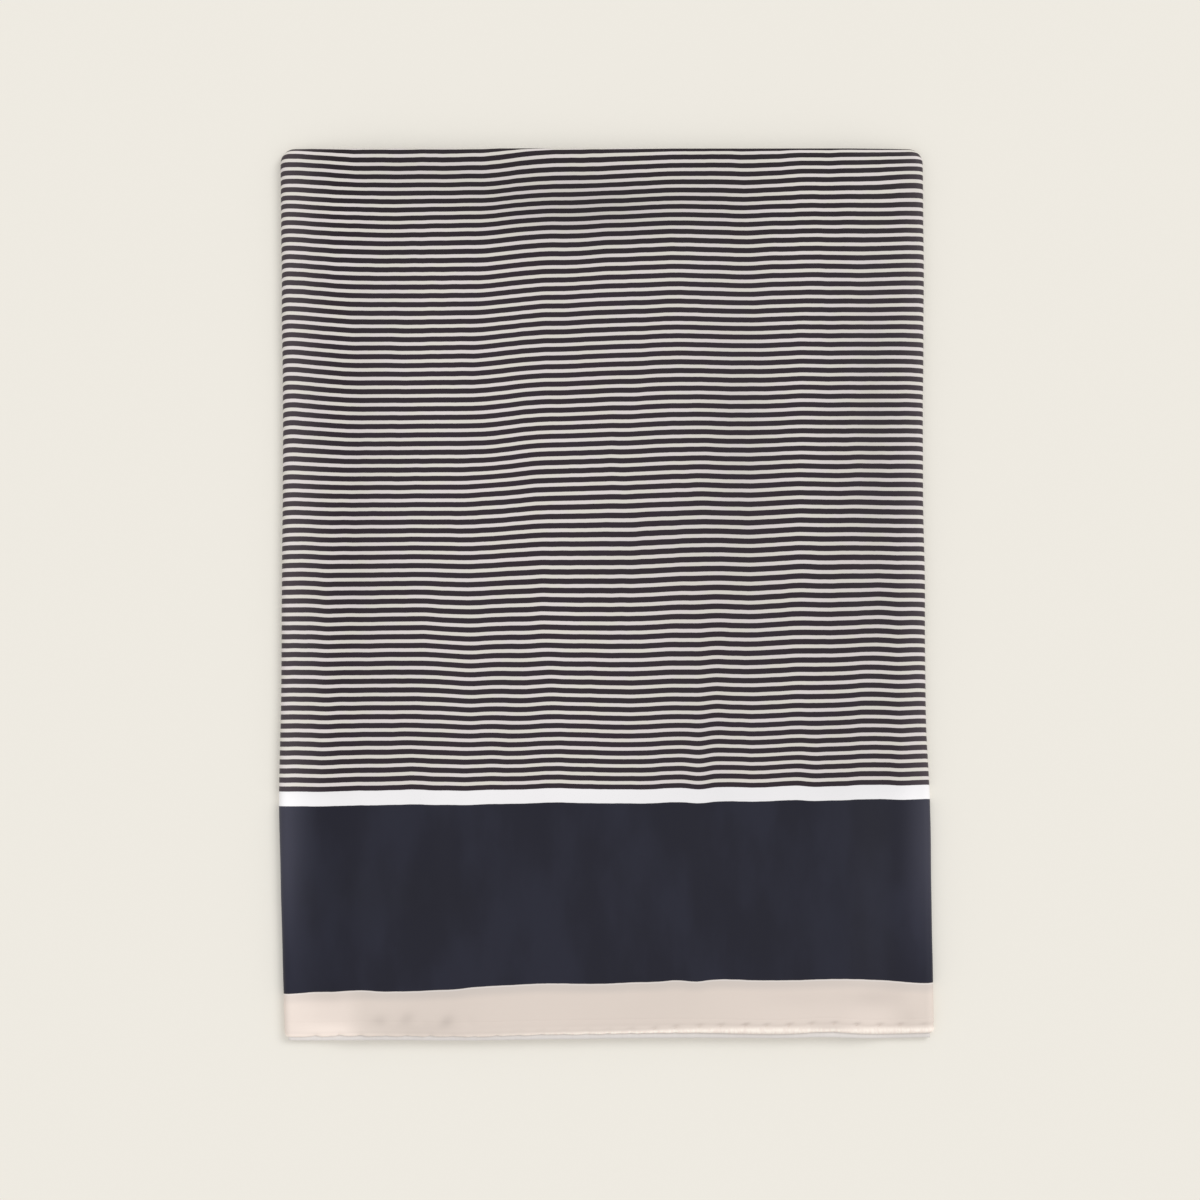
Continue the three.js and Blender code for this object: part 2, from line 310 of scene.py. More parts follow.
@dataclass(frozen=True)
class Stop:
    """A place on the front cloth.

    across runs from -1 to 1 and along from 0 to 1 over its flat part. aside and beyond tell how far
    the place lies past that part's sides and its far end.
    """

    across: float
    aside: float
    along: float
    beyond: float


@dataclass(frozen=True)
class FoldedPack:
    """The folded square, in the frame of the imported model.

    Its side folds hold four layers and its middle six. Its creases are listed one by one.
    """

    square_side: float = 900.0
    width: float = 330.8
    length: float = 450.0
    side_height: float = 6.2  # four layers, at the side folds
    flap_height: float = 2.6  # what two more layers add in the middle
    fold_reach: float = 3.6  # how far a fold bulges outwards
    corner_radius: float = 8.0
    loop_height: float = 3.15  # the cloth that turns over the first fold
    slope_run: float = 27.0  # the top's slope past a flap's free edge
    slot_width: float = 3.6  # room for the rolled hem beside the second flap's free edge
    hem_setback: float = 2.9  # from the front hem's edge to where the cloth's cells start
    lift_start: float = 8.0  # from a side fold to where the first fold's edge starts to rise
    lift_run: float = 10.0  # the width over which that edge rises
    lower_hem: float = 2.2  # thickness of the hems below
    slack_depth: float = 0.25  # how far a fold is pressed in, on average
    slack_clouds: Clouds = Clouds(width=31, length=1, strength=1.0, layer=1.7)
    slack_row: float = 5.0  # the sides read the noise this far from its middle
    ripples: tuple[Clouds, ...] = (
        Clouds(width=23, length=60, strength=0.1, layer=3.1),
        Clouds(width=7, length=16, strength=0.03, layer=8.4),
    )
    side_folds: tuple[SideFold, ...] = (
        SideFold(-225, 162.6, 165.4),
        SideFold(-180, 163.9, 164.6),
        SideFold(-110, 165.4, 163.4),
        SideFold(-60, 164.5, 161.2),
        SideFold(0, 164.1, 160.8),
        SideFold(75, 163.6, 159.8),
        SideFold(150, 164.1, 160.3),
        SideFold(225, 164.9, 159.8),
    )
    hem_lines: tuple[HemLine, ...] = (
        HemLine(-166, -223.2, -224.9, 1.0),
        HemLine(-145, -223.3, -225.0, 1.0),
        HemLine(-128, -222.7, -224.8, 1.0),
        HemLine(-105, -222.9, -224.7, 1.0),
        HemLine(-75, -223.2, -224.9, 0.9),
        HemLine(-40, -222.4, -224.4, 0.75),
        HemLine(0, -221.7, -223.9, 0.6),
        HemLine(42, -221.2, -223.5, 0.3),
        HemLine(90, -221.8, -223.6, 0.0),
        HemLine(112, -220.8, -223.2, 0.35),
        HemLine(132, -221.9, -223.8, 0.05),
        HemLine(166, -221.2, -223.4, 0.15),
    )
    creases: tuple[Crease, ...] = (
        Crease(-139, -20, 95, 9, -0.6, 0.02),
        Crease(-90, -60, 85, 12, 0.55, -0.05),
        Crease(-44, 45, 120, 14, -0.5, 0.04),
        Crease(8, -40, 80, 16, 0.35, 0.05),
        Crease(47, -30, 110, 13, -0.5, -0.06),
        Crease(104, 30, 130, 15, 0.45, -0.03),
        Crease(-108, 150, 50, 18, 0.4, 0.15),
        Crease(66, 165, 45, 20, -0.35, -0.2),
        Crease(-96, -208, 13, 22, -0.7),
    )
    fine_creases: tuple[Crease, ...] = (
        Crease(-150, -80, 60, 5, 0.16),
        Crease(-121, 90, 90, 6, 0.2, 0.03),
        Crease(-78, -120, 45, 5, -0.18, 0.02),
        Crease(-62, 130, 60, 7, 0.22, -0.05),
        Crease(-28, -90, 50, 6, 0.2, 0.03),
        Crease(30, 60, 70, 7, 0.18, 0.04),
        Crease(61, -60, 55, 6, 0.2, -0.03),
        Crease(84, 40, 90, 7, -0.22, 0.02),
        Crease(122, -110, 40, 7, -0.2),
        Crease(139, 80, 80, 6, 0.18, -0.02),
        Crease(-128, -212, 10, 12, 0.3),
        Crease(-66, -206, 12, 10, 0.28),
        Crease(146, -208, 12, 12, -0.35),
        Crease(-115, -214.5, 3.2, 3.0, -0.35),
        Crease(-101, -213, 3.6, 4.5, -0.4, 0.3),
        Crease(-92, -216, 2.6, 3.0, -0.2),
        Crease(-81, -214.5, 3.0, 3.2, -0.4, 0.3),
        Crease(-69, -215.5, 2.6, 3.0, -0.25),
        Crease(151, -214, 4.5, 4.0, -0.4, 0.3),
    )

    @cached_property
    def flap_edge(self) -> float:
        """Distance of each flap's free edge from the middle."""
        return (self.square_side - self.width) / 2 - self.width / 2

    @cached_property
    def first_fold(self) -> float:
        """Place of the first fold, along the pack."""
        return self.length / 2

    @cached_property
    def flat_corner(self) -> float:
        """Corner radius of the cloth before it turns down."""
        return self.corner_radius - self.fold_reach

    @cached_property
    def flat_end(self) -> float:
        """Place along the pack where the front stops being flat."""
        return self.first_fold - self.corner_radius

    @cached_property
    def fold_length(self) -> float:
        """Cloth that one side fold takes."""
        return math.pi * (self.fold_reach + self.side_height / 2) / 2

    @cached_property
    def margin(self) -> float:
        """Cloth from the front's flat part to the edge that is turned down."""
        return self.flat_corner + self.fold_length

    @cached_property
    def flat_run(self) -> float:
        """Length of the front's flat part."""
        return self.length - self.corner_radius

    @cached_property
    def left(self) -> SmoothTable:
        """The left fold, read along the pack."""
        return SmoothTable.of(self.side_folds, "y", "left")

    @cached_property
    def right(self) -> SmoothTable:
        """The right fold, read along the pack."""
        return SmoothTable.of(self.side_folds, "y", "right")

    @cached_property
    def front_line(self) -> SmoothTable:
        """The front hem's outer edge, read across the pack."""
        return SmoothTable.of(self.hem_lines, "x", "front")

    @cached_property
    def under_line(self) -> SmoothTable:
        """The outer edge of the hem below the front's, read across the pack."""
        return SmoothTable.of(self.hem_lines, "x", "under")

    @cached_property
    def tucked(self) -> SmoothTable:
        """How far the front hem is rolled under its cloth, read across the pack."""
        return SmoothTable.of(self.hem_lines, "x", "tucked")

    def left_cover(self, x: float) -> float:
        """Return 1 where the second flap lies below, falling to 0 past its free edge."""
        edge = -self.flap_edge - self.slot_width
        return ease(x, edge - self.slope_run, edge)

    def right_cover(self, x: float) -> float:
        """Return 1 where the first flap lies below, falling to 0 past its free edge."""
        return 1.0 - ease(x, self.flap_edge, self.flap_edge + self.slope_run)

    def stack_height(self, x: float) -> float:
        """Return the height of the layers with no creases."""
        return self.side_height + self.flap_height * self.left_cover(x) * self.right_cover(x)

    def top_height(self, x: float, y: float) -> float:
        """Return the height of the pack's top, large creases included."""
        return self.stack_height(x) + sum(crease.at(x, y) for crease in self.creases)

    def fine_height(self, x: float, y: float) -> float:
        """Return what the small creases and the silk's own unevenness add to the top."""
        small = sum(crease.at(x, y) for crease in self.fine_creases)
        return small + sum(ripple.at(x, y) for ripple in self.ripples)

    def fold_foot(self, x: float, y: float) -> float:
        """Find the lower edge of the cloth that turns over a fold.

        Args:
            x: The place across the pack.
            y: The place along it.

        Returns:
            The edge's height: the table's at a side fold, and near the top along the first fold.
        """
        start = (self.left if x < 0 else self.right).at(y) - self.lift_start
        lift = 1.0 - ease(abs(x), start - self.lift_run, start)
        return lift * (self.top_height(x, y) - self.loop_height)

    def fold_slack(self, y: float, side: float) -> float:
        """Return how much a fold is pressed in, which varies along each side."""
        row = math.copysign(self.slack_row, side)
        return -self.slack_depth * (1.0 + self.slack_clouds.at(y, row))

    def place(self, stop: Stop, depth: float = 0.0) -> tuple[Vector, Vector]:
        """Find where a point of the front cloth lies.

        Args:
            stop: The point's place on the cloth.
            depth: How far it lies below the cloth's outer face.

        Returns:
            The point in the pack, and the same point on the flat silk.
        """
        # A square corner of the margin is eased into a round one.
        side_share, end_share = stop.aside / self.margin, stop.beyond / self.margin
        sideways = stop.aside * math.sqrt(1.0 - end_share**2 / 2)
        endways = stop.beyond * math.sqrt(1.0 - side_share**2 / 2)
        outward = math.hypot(sideways, endways)
        turn = math.pi * max(0.0, outward - self.flat_corner) / self.fold_length
        side = math.copysign(sideways, stop.across)

        row = mix(-self.first_fold, self.flat_end, stop.along)
        slack = self.fold_slack(row + endways / 2, side)
        bulge = (self.fold_reach + slack - depth) * math.sin(turn)
        reach = min(outward, self.flat_corner) + bulge
        scale = reach / outward if outward > 0 else 0.0
        level = row + endways * scale
        left = self.corner_radius - self.left.at(level)
        right = self.right.at(level) - self.corner_radius
        base_x = mix(left, right, (stop.across + 1) / 2)
        x = base_x + side * scale
        base_y = mix(self.front_line.at(x) + self.hem_setback, self.flat_end, stop.along)
        y = base_y + endways * scale

        top = self.top_height(x, y)
        foot = self.fold_foot(x, y)
        fine = self.fine_height(x, y) * max(0.0, math.cos(turn))
        z = (top + foot) / 2 + ((top - foot) / 2 - depth) * math.cos(turn) + fine
        flat = Vector((base_x + side, base_y + endways, 0.0))
        return Vector((x, y, max(z, FLOOR))), flat


@dataclass(frozen=True)
class HemProfile:
    """The front hem's outline from its edge inwards: a plump roll, or one that is turned under."""

    pack: FoldedPack
    lip: float = 8.5  # how far in the hem reaches, under the front cloth
    lip_share: float = 0.5  # share of the cells that lie between the lip and the crown
    meet: float = 7.6  # where the hem and the front cloth meet
    dive: float = 0.45  # how deep the lip lies
    edge_inset: float = 0.4  # how far the roll stays inside the hem's edge
    plump_reach: float = 1.9
    tucked_reach: float = 3.0
    plump_drop: float = 1.3
    tucked_drop: float = 1.5
    crown_lift: float = 0.1
    crown_run: float = 1.6
    valley_depth: float = 0.36
    valley_at: float = 4.3
    valley_reach: float = 0.95
    last_angle: float = 290.0  # where the roll's inner end is, 90 being its crown
    stitch_pitch: float = 11.45
    stitch_wander: float = 1.6
    wander_step: float = 1.7
    stitch_in: tuple[float, float] = (2.6, 5.2)
    stitch_run: tuple[float, float] = (0.0, 80.0)
    stitch_depth: float = 0.9
    stitch_reach: float = 1.8
    stitch_width: float = 0.9
    stitch_lean: float = 0.7
    firmness: float = 0.75
    firmness_spread: float = 0.5
    firmness_step: float = 2.3
    pinch: float = 0.15
    pinch_run: float = 1.4
    edge_pinch: float = 0.7
    stitch_shadow: float = 0.16
    shadow_width: float = 0.8
    edge_light: float = 0.1
    lit_at: tuple[float, float] = (2.2, 0.9)
    lit_reach: tuple[float, float] = (1.3, 0.9)
    half_tucked: tuple[float, float] = (0.2, 0.42)  # shares between which the edge catches less light
    edge_wobble: float = 0.45
    wobble_length: float = 4.5

    def stitch_place(self, number: int) -> float:
        """Return where across the pack a stitch is."""
        wander = self.stitch_wander * smooth_noise(number * self.wander_step, 0.4, 7.7)
        return self.stitch_pitch * number + wander

    def stitch_line(self, x: float) -> float:
        """Return how far in from the edge the stitches are: near it where the hem turns under."""
        return mix(*self.stitch_in, ease(x, *self.stitch_run))

    def nearest_stitch(self, x: float) -> tuple[float, float]:
        """Find the nearest stitch.

        Args:
            x: The place across the pack.

        Returns:
            The way to the stitch, and how firmly it is drawn.
        """
        number = round(x / self.stitch_pitch)
        spread = self.firmness_spread * smooth_noise(number * self.firmness_step, 3.3, 0.2)
        return x - self.stitch_place(number), self.firmness + spread

    def draw(self, x: float, inwards: float) -> tuple[float, float, float]:
        """Find how the nearest stitch draws in a place.

        Args:
            x: The place across the pack.
            inwards: The distance in from the hem's outer edge.

        Returns:
            How near the place is to the stitch's slanting line, 1 on it, how firmly the stitch is
            drawn, and how far past the row of stitches the place is.
        """
        aside, firm = self.nearest_stitch(x)
        past = inwards - self.stitch_line(x)
        return hump(aside - self.stitch_lean * past, self.stitch_reach), firm, past

    def reach(self, x: float) -> float:
        """Return how far the roll bulges outwards, from where it is highest."""
        return mix(self.plump_reach, self.tucked_reach, self.pack.tucked.at(x))

    def upper(self, x: float, inwards: float) -> float:
        """Find the height of the upper surface, against the cloth's own.

        Args:
            x: The place across the pack.
            inwards: The distance in from the hem's outer edge.

        Returns:
            The height, below 0 in the valley beside the roll and where a stitch draws it in.
        """
        plump = 1.0 - self.pack.tucked.at(x)
        crown = self.reach(x) + self.edge_inset
        drawn, firm, past = self.draw(x, inwards)
        height = plump * self.crown_lift * hump(max(inwards - crown, 0.0), self.crown_run)
        height -= plump * self.valley_depth * hump(inwards - self.valley_at, self.valley_reach)
        height -= plump * self.stitch_depth * firm * drawn * hump(past, self.stitch_width)
        return height - plump * self.pinch * drawn * hump(inwards - crown, self.pinch_run)

    def light(self, x: float, inwards: float) -> float:
        """Find the painted light on the hem: painted shade in a stitch's dimple, a painted highlight on
        the edge.

        Args:
            x: The place across the pack.
            inwards: The distance in from the hem's outer edge.

        Returns:
            The lightness, 1 where the hem looks like the cloth beside it.
        """
        tucked = self.pack.tucked.at(x)
        drawn, firm, past = self.draw(x, inwards)
        dimple = (1.0 - tucked) * firm * drawn * hump(past, self.shadow_width)
        thin = min(1.0, tucked * 2.0)
        lit = self.edge_light * (1.0 + thin + ease(1.0 - tucked, *self.half_tucked) * thin)
        lit *= hump(inwards - mix(*self.lit_at, thin), mix(*self.lit_reach, thin))
        return 1.0 - self.stitch_shadow * dimple + lit

    def point(self, x: float, share: float) -> tuple[float, float, float]:
        """Find a point of the hem's outline.

        Args:
            x: The place across the pack.
            share: How far round the outline, from the lip on the cloth to the roll's inner end.

        Returns:
            Its distance in from the edge, its height, and the distance on the flat silk.
        """
        tucked = self.pack.tucked.at(x)
        reach = self.reach(x)
        crown = reach + self.edge_inset
        if share <= self.lip_share:
            inwards = mix(self.lip, crown, share / self.lip_share)
            height = self.upper(x, inwards) - self.dive * ease(inwards, self.meet, self.lip)
            return inwards, height, inwards
        rolled = (share - self.lip_share) / (1.0 - self.lip_share)
        turn = math.radians(mix(0.0, self.last_angle - 90.0, rolled))
        drop = mix(self.plump_drop, self.tucked_drop, tucked)
        aside, firm = self.nearest_stitch(x)
        drawn = self.edge_pinch * tucked * firm * hump(aside, self.stitch_reach)
        drawn += self.edge_wobble * tucked * smooth_noise(x / self.wobble_length, 1.1, 6.6)
        inwards = crown - (reach - drawn) * math.sin(turn)
        height = drop * (math.cos(turn) - 1.0) + self.upper(x, crown) * max(0.0, math.cos(turn))
        return inwards, height, crown - turn * (reach + drop) / 2


@dataclass(frozen=True)
class PrintDrift:
    """How the print strays from straight where the cloth is pulled askew.

    A field that ends in columns or rows tells between which places a change grows to its full size.
    """

    origin: float = -222.4
    lift: float = 0.86
    tilt: float = 0.0098
    shelf_rise: float = 4.1
    shelf_columns: tuple[float, float] = (-68.0, -24.0)
    shelf_rows: tuple[float, float] = (-20.0, 75.0)
    shrink: float = 0.0235
    shrink_from: float = 20.0
    fold_pull: float = 2.4
    fold_rows: tuple[float, float] = (178.0, 222.0)
    edge_lift: float = 2.8
    edge_at: float = -165.0
    edge_reach: float = 24.0
    edge_rows: tuple[float, float] = (20.0, 115.0)
    hem_sag: float = 3.7
    sag_columns: tuple[float, float] = (-95.0, -20.0)
    sag_at: float = -205.0
    sag_reach: float = 70.0
    left_bend: float = 1.9
    left_bend_rows: tuple[float, float] = (-30.0, 110.0)
    right_bend: float = 0.7
    right_bend_rows: tuple[float, float] = (-190.0, -40.0)
    side_reach: float = 9.6
    bend_limit: float = 1.1  # the furthest that the bend grows, as a share of side_reach
    bend_power: float = 3.5
    last_row: float = 225.0  # the print past the first fold follows this row
    ripples: tuple[Clouds, ...] = (
        Clouds(width=11, length=60, strength=0.22, layer=2.6),
        Clouds(width=5, length=22, strength=0.11, layer=9.1),
    )
    pulls: tuple[Pull, ...] = (
        Pull(30, -50, 95, 38, -2.0),
        Pull(46, 60, 14, 90, 0.7),
        Pull(-30, -75, 10, 45, 0.9),
        Pull(-68, -60, 16, 45, -0.9),
        Pull(97, 40, 10, 120, 0.5),
        Pull(-145, -80, 9, 40, -0.5),
        Pull(160, -200, 22, 50, -1.6),
        Pull(20, -105, 50, 25, -0.5),
        Pull(-24, 135, 16, 100, -1.0),
        Pull(32, 120, 14, 70, 0.6),
        Pull(-20, 70, 140, 80, -0.6),
        Pull(60, 160, 60, 35, -0.6),
        Pull(110, 212, 60, 14, 1.3),
        Pull(-38, -60, 9, 32, -0.6),
        Pull(9, -68, 12, 34, -0.5),
        Pull(34, -86, 8, 28, 0.3),
        Pull(47, -88, 5, 28, -0.65),
        Pull(55, -60, 6, 50, 0.45),
        Pull(80, -70, 12, 30, -0.5),
        Pull(95, -92, 9, 18, 0.4),
        Pull(105, -92, 6, 24, -0.5),
        Pull(118, -78, 9, 34, -0.3),
        Pull(130, -60, 8, 50, 0.4),
        Pull(148, -60, 7, 70, -0.5),
        Pull(-70, 0, 13, 40, -0.6),
        Pull(-97, -92, 10, 22, 0.5),
        Pull(-60, -10, 70, 30, -0.4),
        Pull(120, 20, 40, 60, 0.3),
        Pull(0, 60, 200, 70, -0.3),
        Pull(155, 45, 20, 35, -0.6),
        Pull(14, 0, 25, 30, -0.4),
        Pull(33, 190, 14, 40, 0.4),
        Pull(70, 205, 15, 20, -0.4),
        Pull(-64, -80, 7, 30, 0.3),
        Pull(-44, -60, 7, 35, -0.3),
        Pull(-161, -197, 9, 22, -1.0),
        Pull(-125, -197, 8, 22, 0.8),
        Pull(-88, -197, 10, 22, 0.4),
        Pull(-62, -197, 12, 22, 0.6),
        Pull(-8, -197, 22, 22, -0.7),
        Pull(34, -197, 6, 22, 0.7),
        Pull(46, -197, 4, 18, -0.5),
        Pull(60, -197, 13, 22, 0.8),
        Pull(120, -197, 18, 22, 0.5),
        Pull(158, -197, 9, 22, -0.7),
        Pull(-62, 160, 62, 30, -0.65),
        Pull(-25, 206, 40, 14, -0.6),
        Pull(140, 155, 35, 32, -0.5),
        Pull(162, 211, 14, 12, 1.2),
        Pull(20, 40, 200, 60, -0.15),
        Pull(-155, 20, 12, 60, 0.45),
        Pull(-155, 185, 14, 20, -0.4),
        Pull(150, 210, 12, 10, 0.6),
        Pull(160, 122, 10, 26, -0.6),
        Pull(-12, 188, 22, 14, -0.5),
        Pull(-124, 130, 10, 50, -0.4),
        Pull(68, 150, 12, 40, -0.45),
        Pull(0, -78, 55, 15, -0.4),
        Pull(31, -20, 6, 30, 0.3),
        Pull(73, -20, 5, 80, -0.25),
        Pull(103, -58, 7, 26, -0.4),
        Pull(139, -8, 11, 18, 0.45),
        Pull(134, -64, 12, 20, -0.25),
        Pull(158, -30, 6, 70, -0.35),
        Pull(-31, -10, 9, 18, 0.45),
        Pull(-49, -78, 5, 16, -0.3),
        Pull(-91, -12, 6, 30, 0.4),
        Pull(-140, -8, 5, 34, -0.5),
        Pull(-150, -65, 6, 25, 0.25),
        Pull(65, -92, 7, 24, 0.3),
        Pull(-29, -70, 7, 14, -0.4),
        Pull(-108, 187, 20, 13, -0.5),
        Pull(143, 214, 16, 11, 0.75),
        Pull(79, 213, 11, 12, -0.55),
        Pull(-146, 213, 13, 10, 0.55),
        Pull(-4, 212, 9, 10, -0.45),
        Pull(-14, 171, 13, 14, -0.4),
        Pull(-60, 51, 9, 16, 0.5),
        Pull(114, 63, 11, 15, -0.35),
        Pull(8, 26, 24, 14, -0.4),
        Pull(125, 166, 8, 18, -0.35),
        Pull(-94, 127, 14, 24, -0.35),
    )

    def rise(self, x: float, y: float) -> float:
        """Find how far the print is moved towards the first fold.

        Args:
            x: The place across the pack.
            y: The place along it.

        Returns:
            The distance, below 0 where the print is moved towards the hem.
        """
        rise = self.lift + self.tilt * x
        rise += self.shelf_rise * ease(x, *self.shelf_columns) * ease(y, *self.shelf_rows)
        rise -= self.shrink * max(0.0, y - self.shrink_from)
        rise -= self.fold_pull * ease(y, *self.fold_rows)
        rise += self.edge_lift * hump(x - self.edge_at, self.edge_reach) * ease(y, *self.edge_rows)
        sag = 1.0 - ease(x, *self.sag_columns)
        rise -= self.hem_sag * sag * hump(y - self.sag_at, self.sag_reach)
        rise += sum(ripple.at(x, y) for ripple in self.ripples)
        return rise + sum(pull.at(x, y) for pull in self.pulls)

    def bend(self, aside: float, left: bool, y: float) -> float:
        """Find how far the print is dragged down where the cloth starts to turn over a side.

        Args:
            aside: How far past the flat part the place is.
            left: Whether it is over the left side fold.
            y: The place along the pack.

        Returns:
            The distance.
        """
        turned = min(aside / self.side_reach, self.bend_limit) ** self.bend_power
        if left:
            return self.left_bend * turned * ease(y, *self.left_bend_rows)
        return self.right_bend * turned * ease(y, *self.right_bend_rows)

    def up_cloth(self, x: float, y: float) -> float:
        """Return a point's distance up the flat silk from the hem."""
        return y - self.origin - self.rise(x, min(y, self.last_row))


# What a sum in a material is made from: a field, or a plain number.
Value = Union["Field", float]


class Field:
    """A number that varies over a surface. Python's operators add the shader's Math nodes."""

    def __init__(self, shader: "Shader", socket: bpy.types.NodeSocket) -> None:
        """Wrap a socket of a shader."""
        self.shader = shader
        self.socket = socket

    def __add__(self, other: Value) -> "Field":
        """Add."""
        return self.shader.math("ADD", self, other)

    def __radd__(self, other: Value) -> "Field":
        """Add, with the field on the right."""
        return self.shader.math("ADD", other, self)

    def __sub__(self, other: Value) -> "Field":
        """Subtract."""
        return self.shader.math("SUBTRACT", self, other)

    def __rsub__(self, other: Value) -> "Field":
        """Subtract the field from a number."""
        return self.shader.math("SUBTRACT", other, self)

    def __mul__(self, other: Value) -> "Field":
        """Multiply."""
        return self.shader.math("MULTIPLY", self, other)

    def __rmul__(self, other: Value) -> "Field":
        """Multiply, with the field on the right."""
        return self.shader.math("MULTIPLY", other, self)

    def __truediv__(self, other: Value) -> "Field":
        """Divide."""
        return self.shader.math("DIVIDE", self, other)

    def __abs__(self) -> "Field":
        """Take the size without the sign."""
        return self.shader.math("ABSOLUTE", self)

    def fract(self) -> "Field":
        """Keep what follows the decimal point."""
        return self.shader.math("FRACT", self)

    def sine(self) -> "Field":
        """Take the sine."""
        return self.shader.math("SINE", self)

    def ramp(self, start: float, end: float) -> "Field":
        """Rise smoothly between two values.

        Args:
            start: The value at which it is still 0.
            end: The value from which it is 1.

        Returns:
            The rise.
        """
        node = self.shader.node(
            "ShaderNodeMapRange",
            {"interpolation_type": "SMOOTHSTEP"},
            {"Value": self, "From Min": start, "From Max": end},
        )
        return Field(self.shader, node.outputs["Result"])


class Shader:
    """A material's nodes, made by one method."""

    def __init__(self, name: str) -> None:
        """Start an empty material.

        Args:
            name: The material's name.
        """
        self.material = bpy.data.materials.new(name)
        self.material.use_nodes = True
        self.tree = self.material.node_tree
        self.tree.nodes.clear()

    def node(
        self,
        kind: str,
        settings: dict[str, object] | None = None,
        inputs: dict[str | int, object] | None = None,
    ) -> bpy.types.Node:
        """Add a node.

        Args:
            kind: The node's type.
            settings: Its own properties, which are set first.
            inputs: The value or link of each socket, by name or place.

        Returns:
            The node.
        """
        made = self.tree.nodes.new(kind)
        for name, value in (settings or {}).items():
            setattr(made, name, value)
        for key, value in (inputs or {}).items():
            socket = made.inputs[key]
            if isinstance(value, Field):
                self.tree.links.new(value.socket, socket)
            elif isinstance(value, bpy.types.NodeSocket):
                self.tree.links.new(value, socket)
            else:
                socket.default_value = value
        return made

    def math(self, operation: str, *values: Value) -> Field:
        """Add a Math node.

        Args:
            operation: The node's operation.
            values: Its inputs, in order.

        Returns:
            The result.
        """
        made = self.node("ShaderNodeMath", {"operation": operation}, dict(enumerate(values)))
        return Field(self, made.outputs[0])

    def blend(self, share: Value, low: object, high: object) -> bpy.types.NodeSocket:
        """Mix two colours.

        Args:
            share: How much of the second colour shows.
            low: The first colour, or a link.
            high: The second colour, or a link.

        Returns:
            The mixed colour's socket.
        """
        made = self.node("ShaderNodeMix", {"data_type": "RGBA"}, {0: share, 6: low, 7: high})
        return made.outputs[2]

    def noise(self, vector: bpy.types.NodeSocket, scale: float, detail: float = 2.0) -> Field:
        """Add cloudy noise.

        Args:
            vector: Where it is read.
            scale: How fine it is.
            detail: How many finer clouds are laid over it.

        Returns:
            The noise, about 0.5 on average.
        """
        made = self.node("ShaderNodeTexNoise", None, {"Vector": vector, "Scale": scale, "Detail": detail})
        return Field(self, made.outputs["Fac"])

    def scaled(
        self, vector: bpy.types.NodeSocket, by: tuple[float, float, float]
    ) -> bpy.types.NodeSocket:
        """Return a vector with its parts stretched."""
        made = self.node("ShaderNodeVectorMath", {"operation": "MULTIPLY"}, {0: vector, 1: by})
        return made.outputs[0]

    def attribute(self, name: str, output: str) -> bpy.types.NodeSocket:
        """Return the socket that reads an attribute of the cloth."""
        return self.node("ShaderNodeAttribute", {"attribute_name": name}).outputs[output]

    def surface(self, inputs: dict[str | int, object]) -> bpy.types.Material:
        """Finish with a Principled surface.

        Args:
            inputs: The value or link of each of its sockets.

        Returns:
            The material.
        """
        skin = self.node("ShaderNodeBsdfPrincipled", None, inputs)
        self.node("ShaderNodeOutputMaterial", None, {"Surface": skin.outputs[0]})
        return self.material


def colour(red: int, green: int, blue: int) -> tuple[float, float, float, float]:
    """Return a screen colour, 0 to 255, as linear light."""
    return (*(linear(part / 255) for part in (red, green, blue)), 1.0)


def linear(part: float) -> float:
    """Return one part of a screen colour as linear light."""
    return part / 12.92 if part <= 0.04045 else ((part + 0.055) / 1.055) ** 2.4


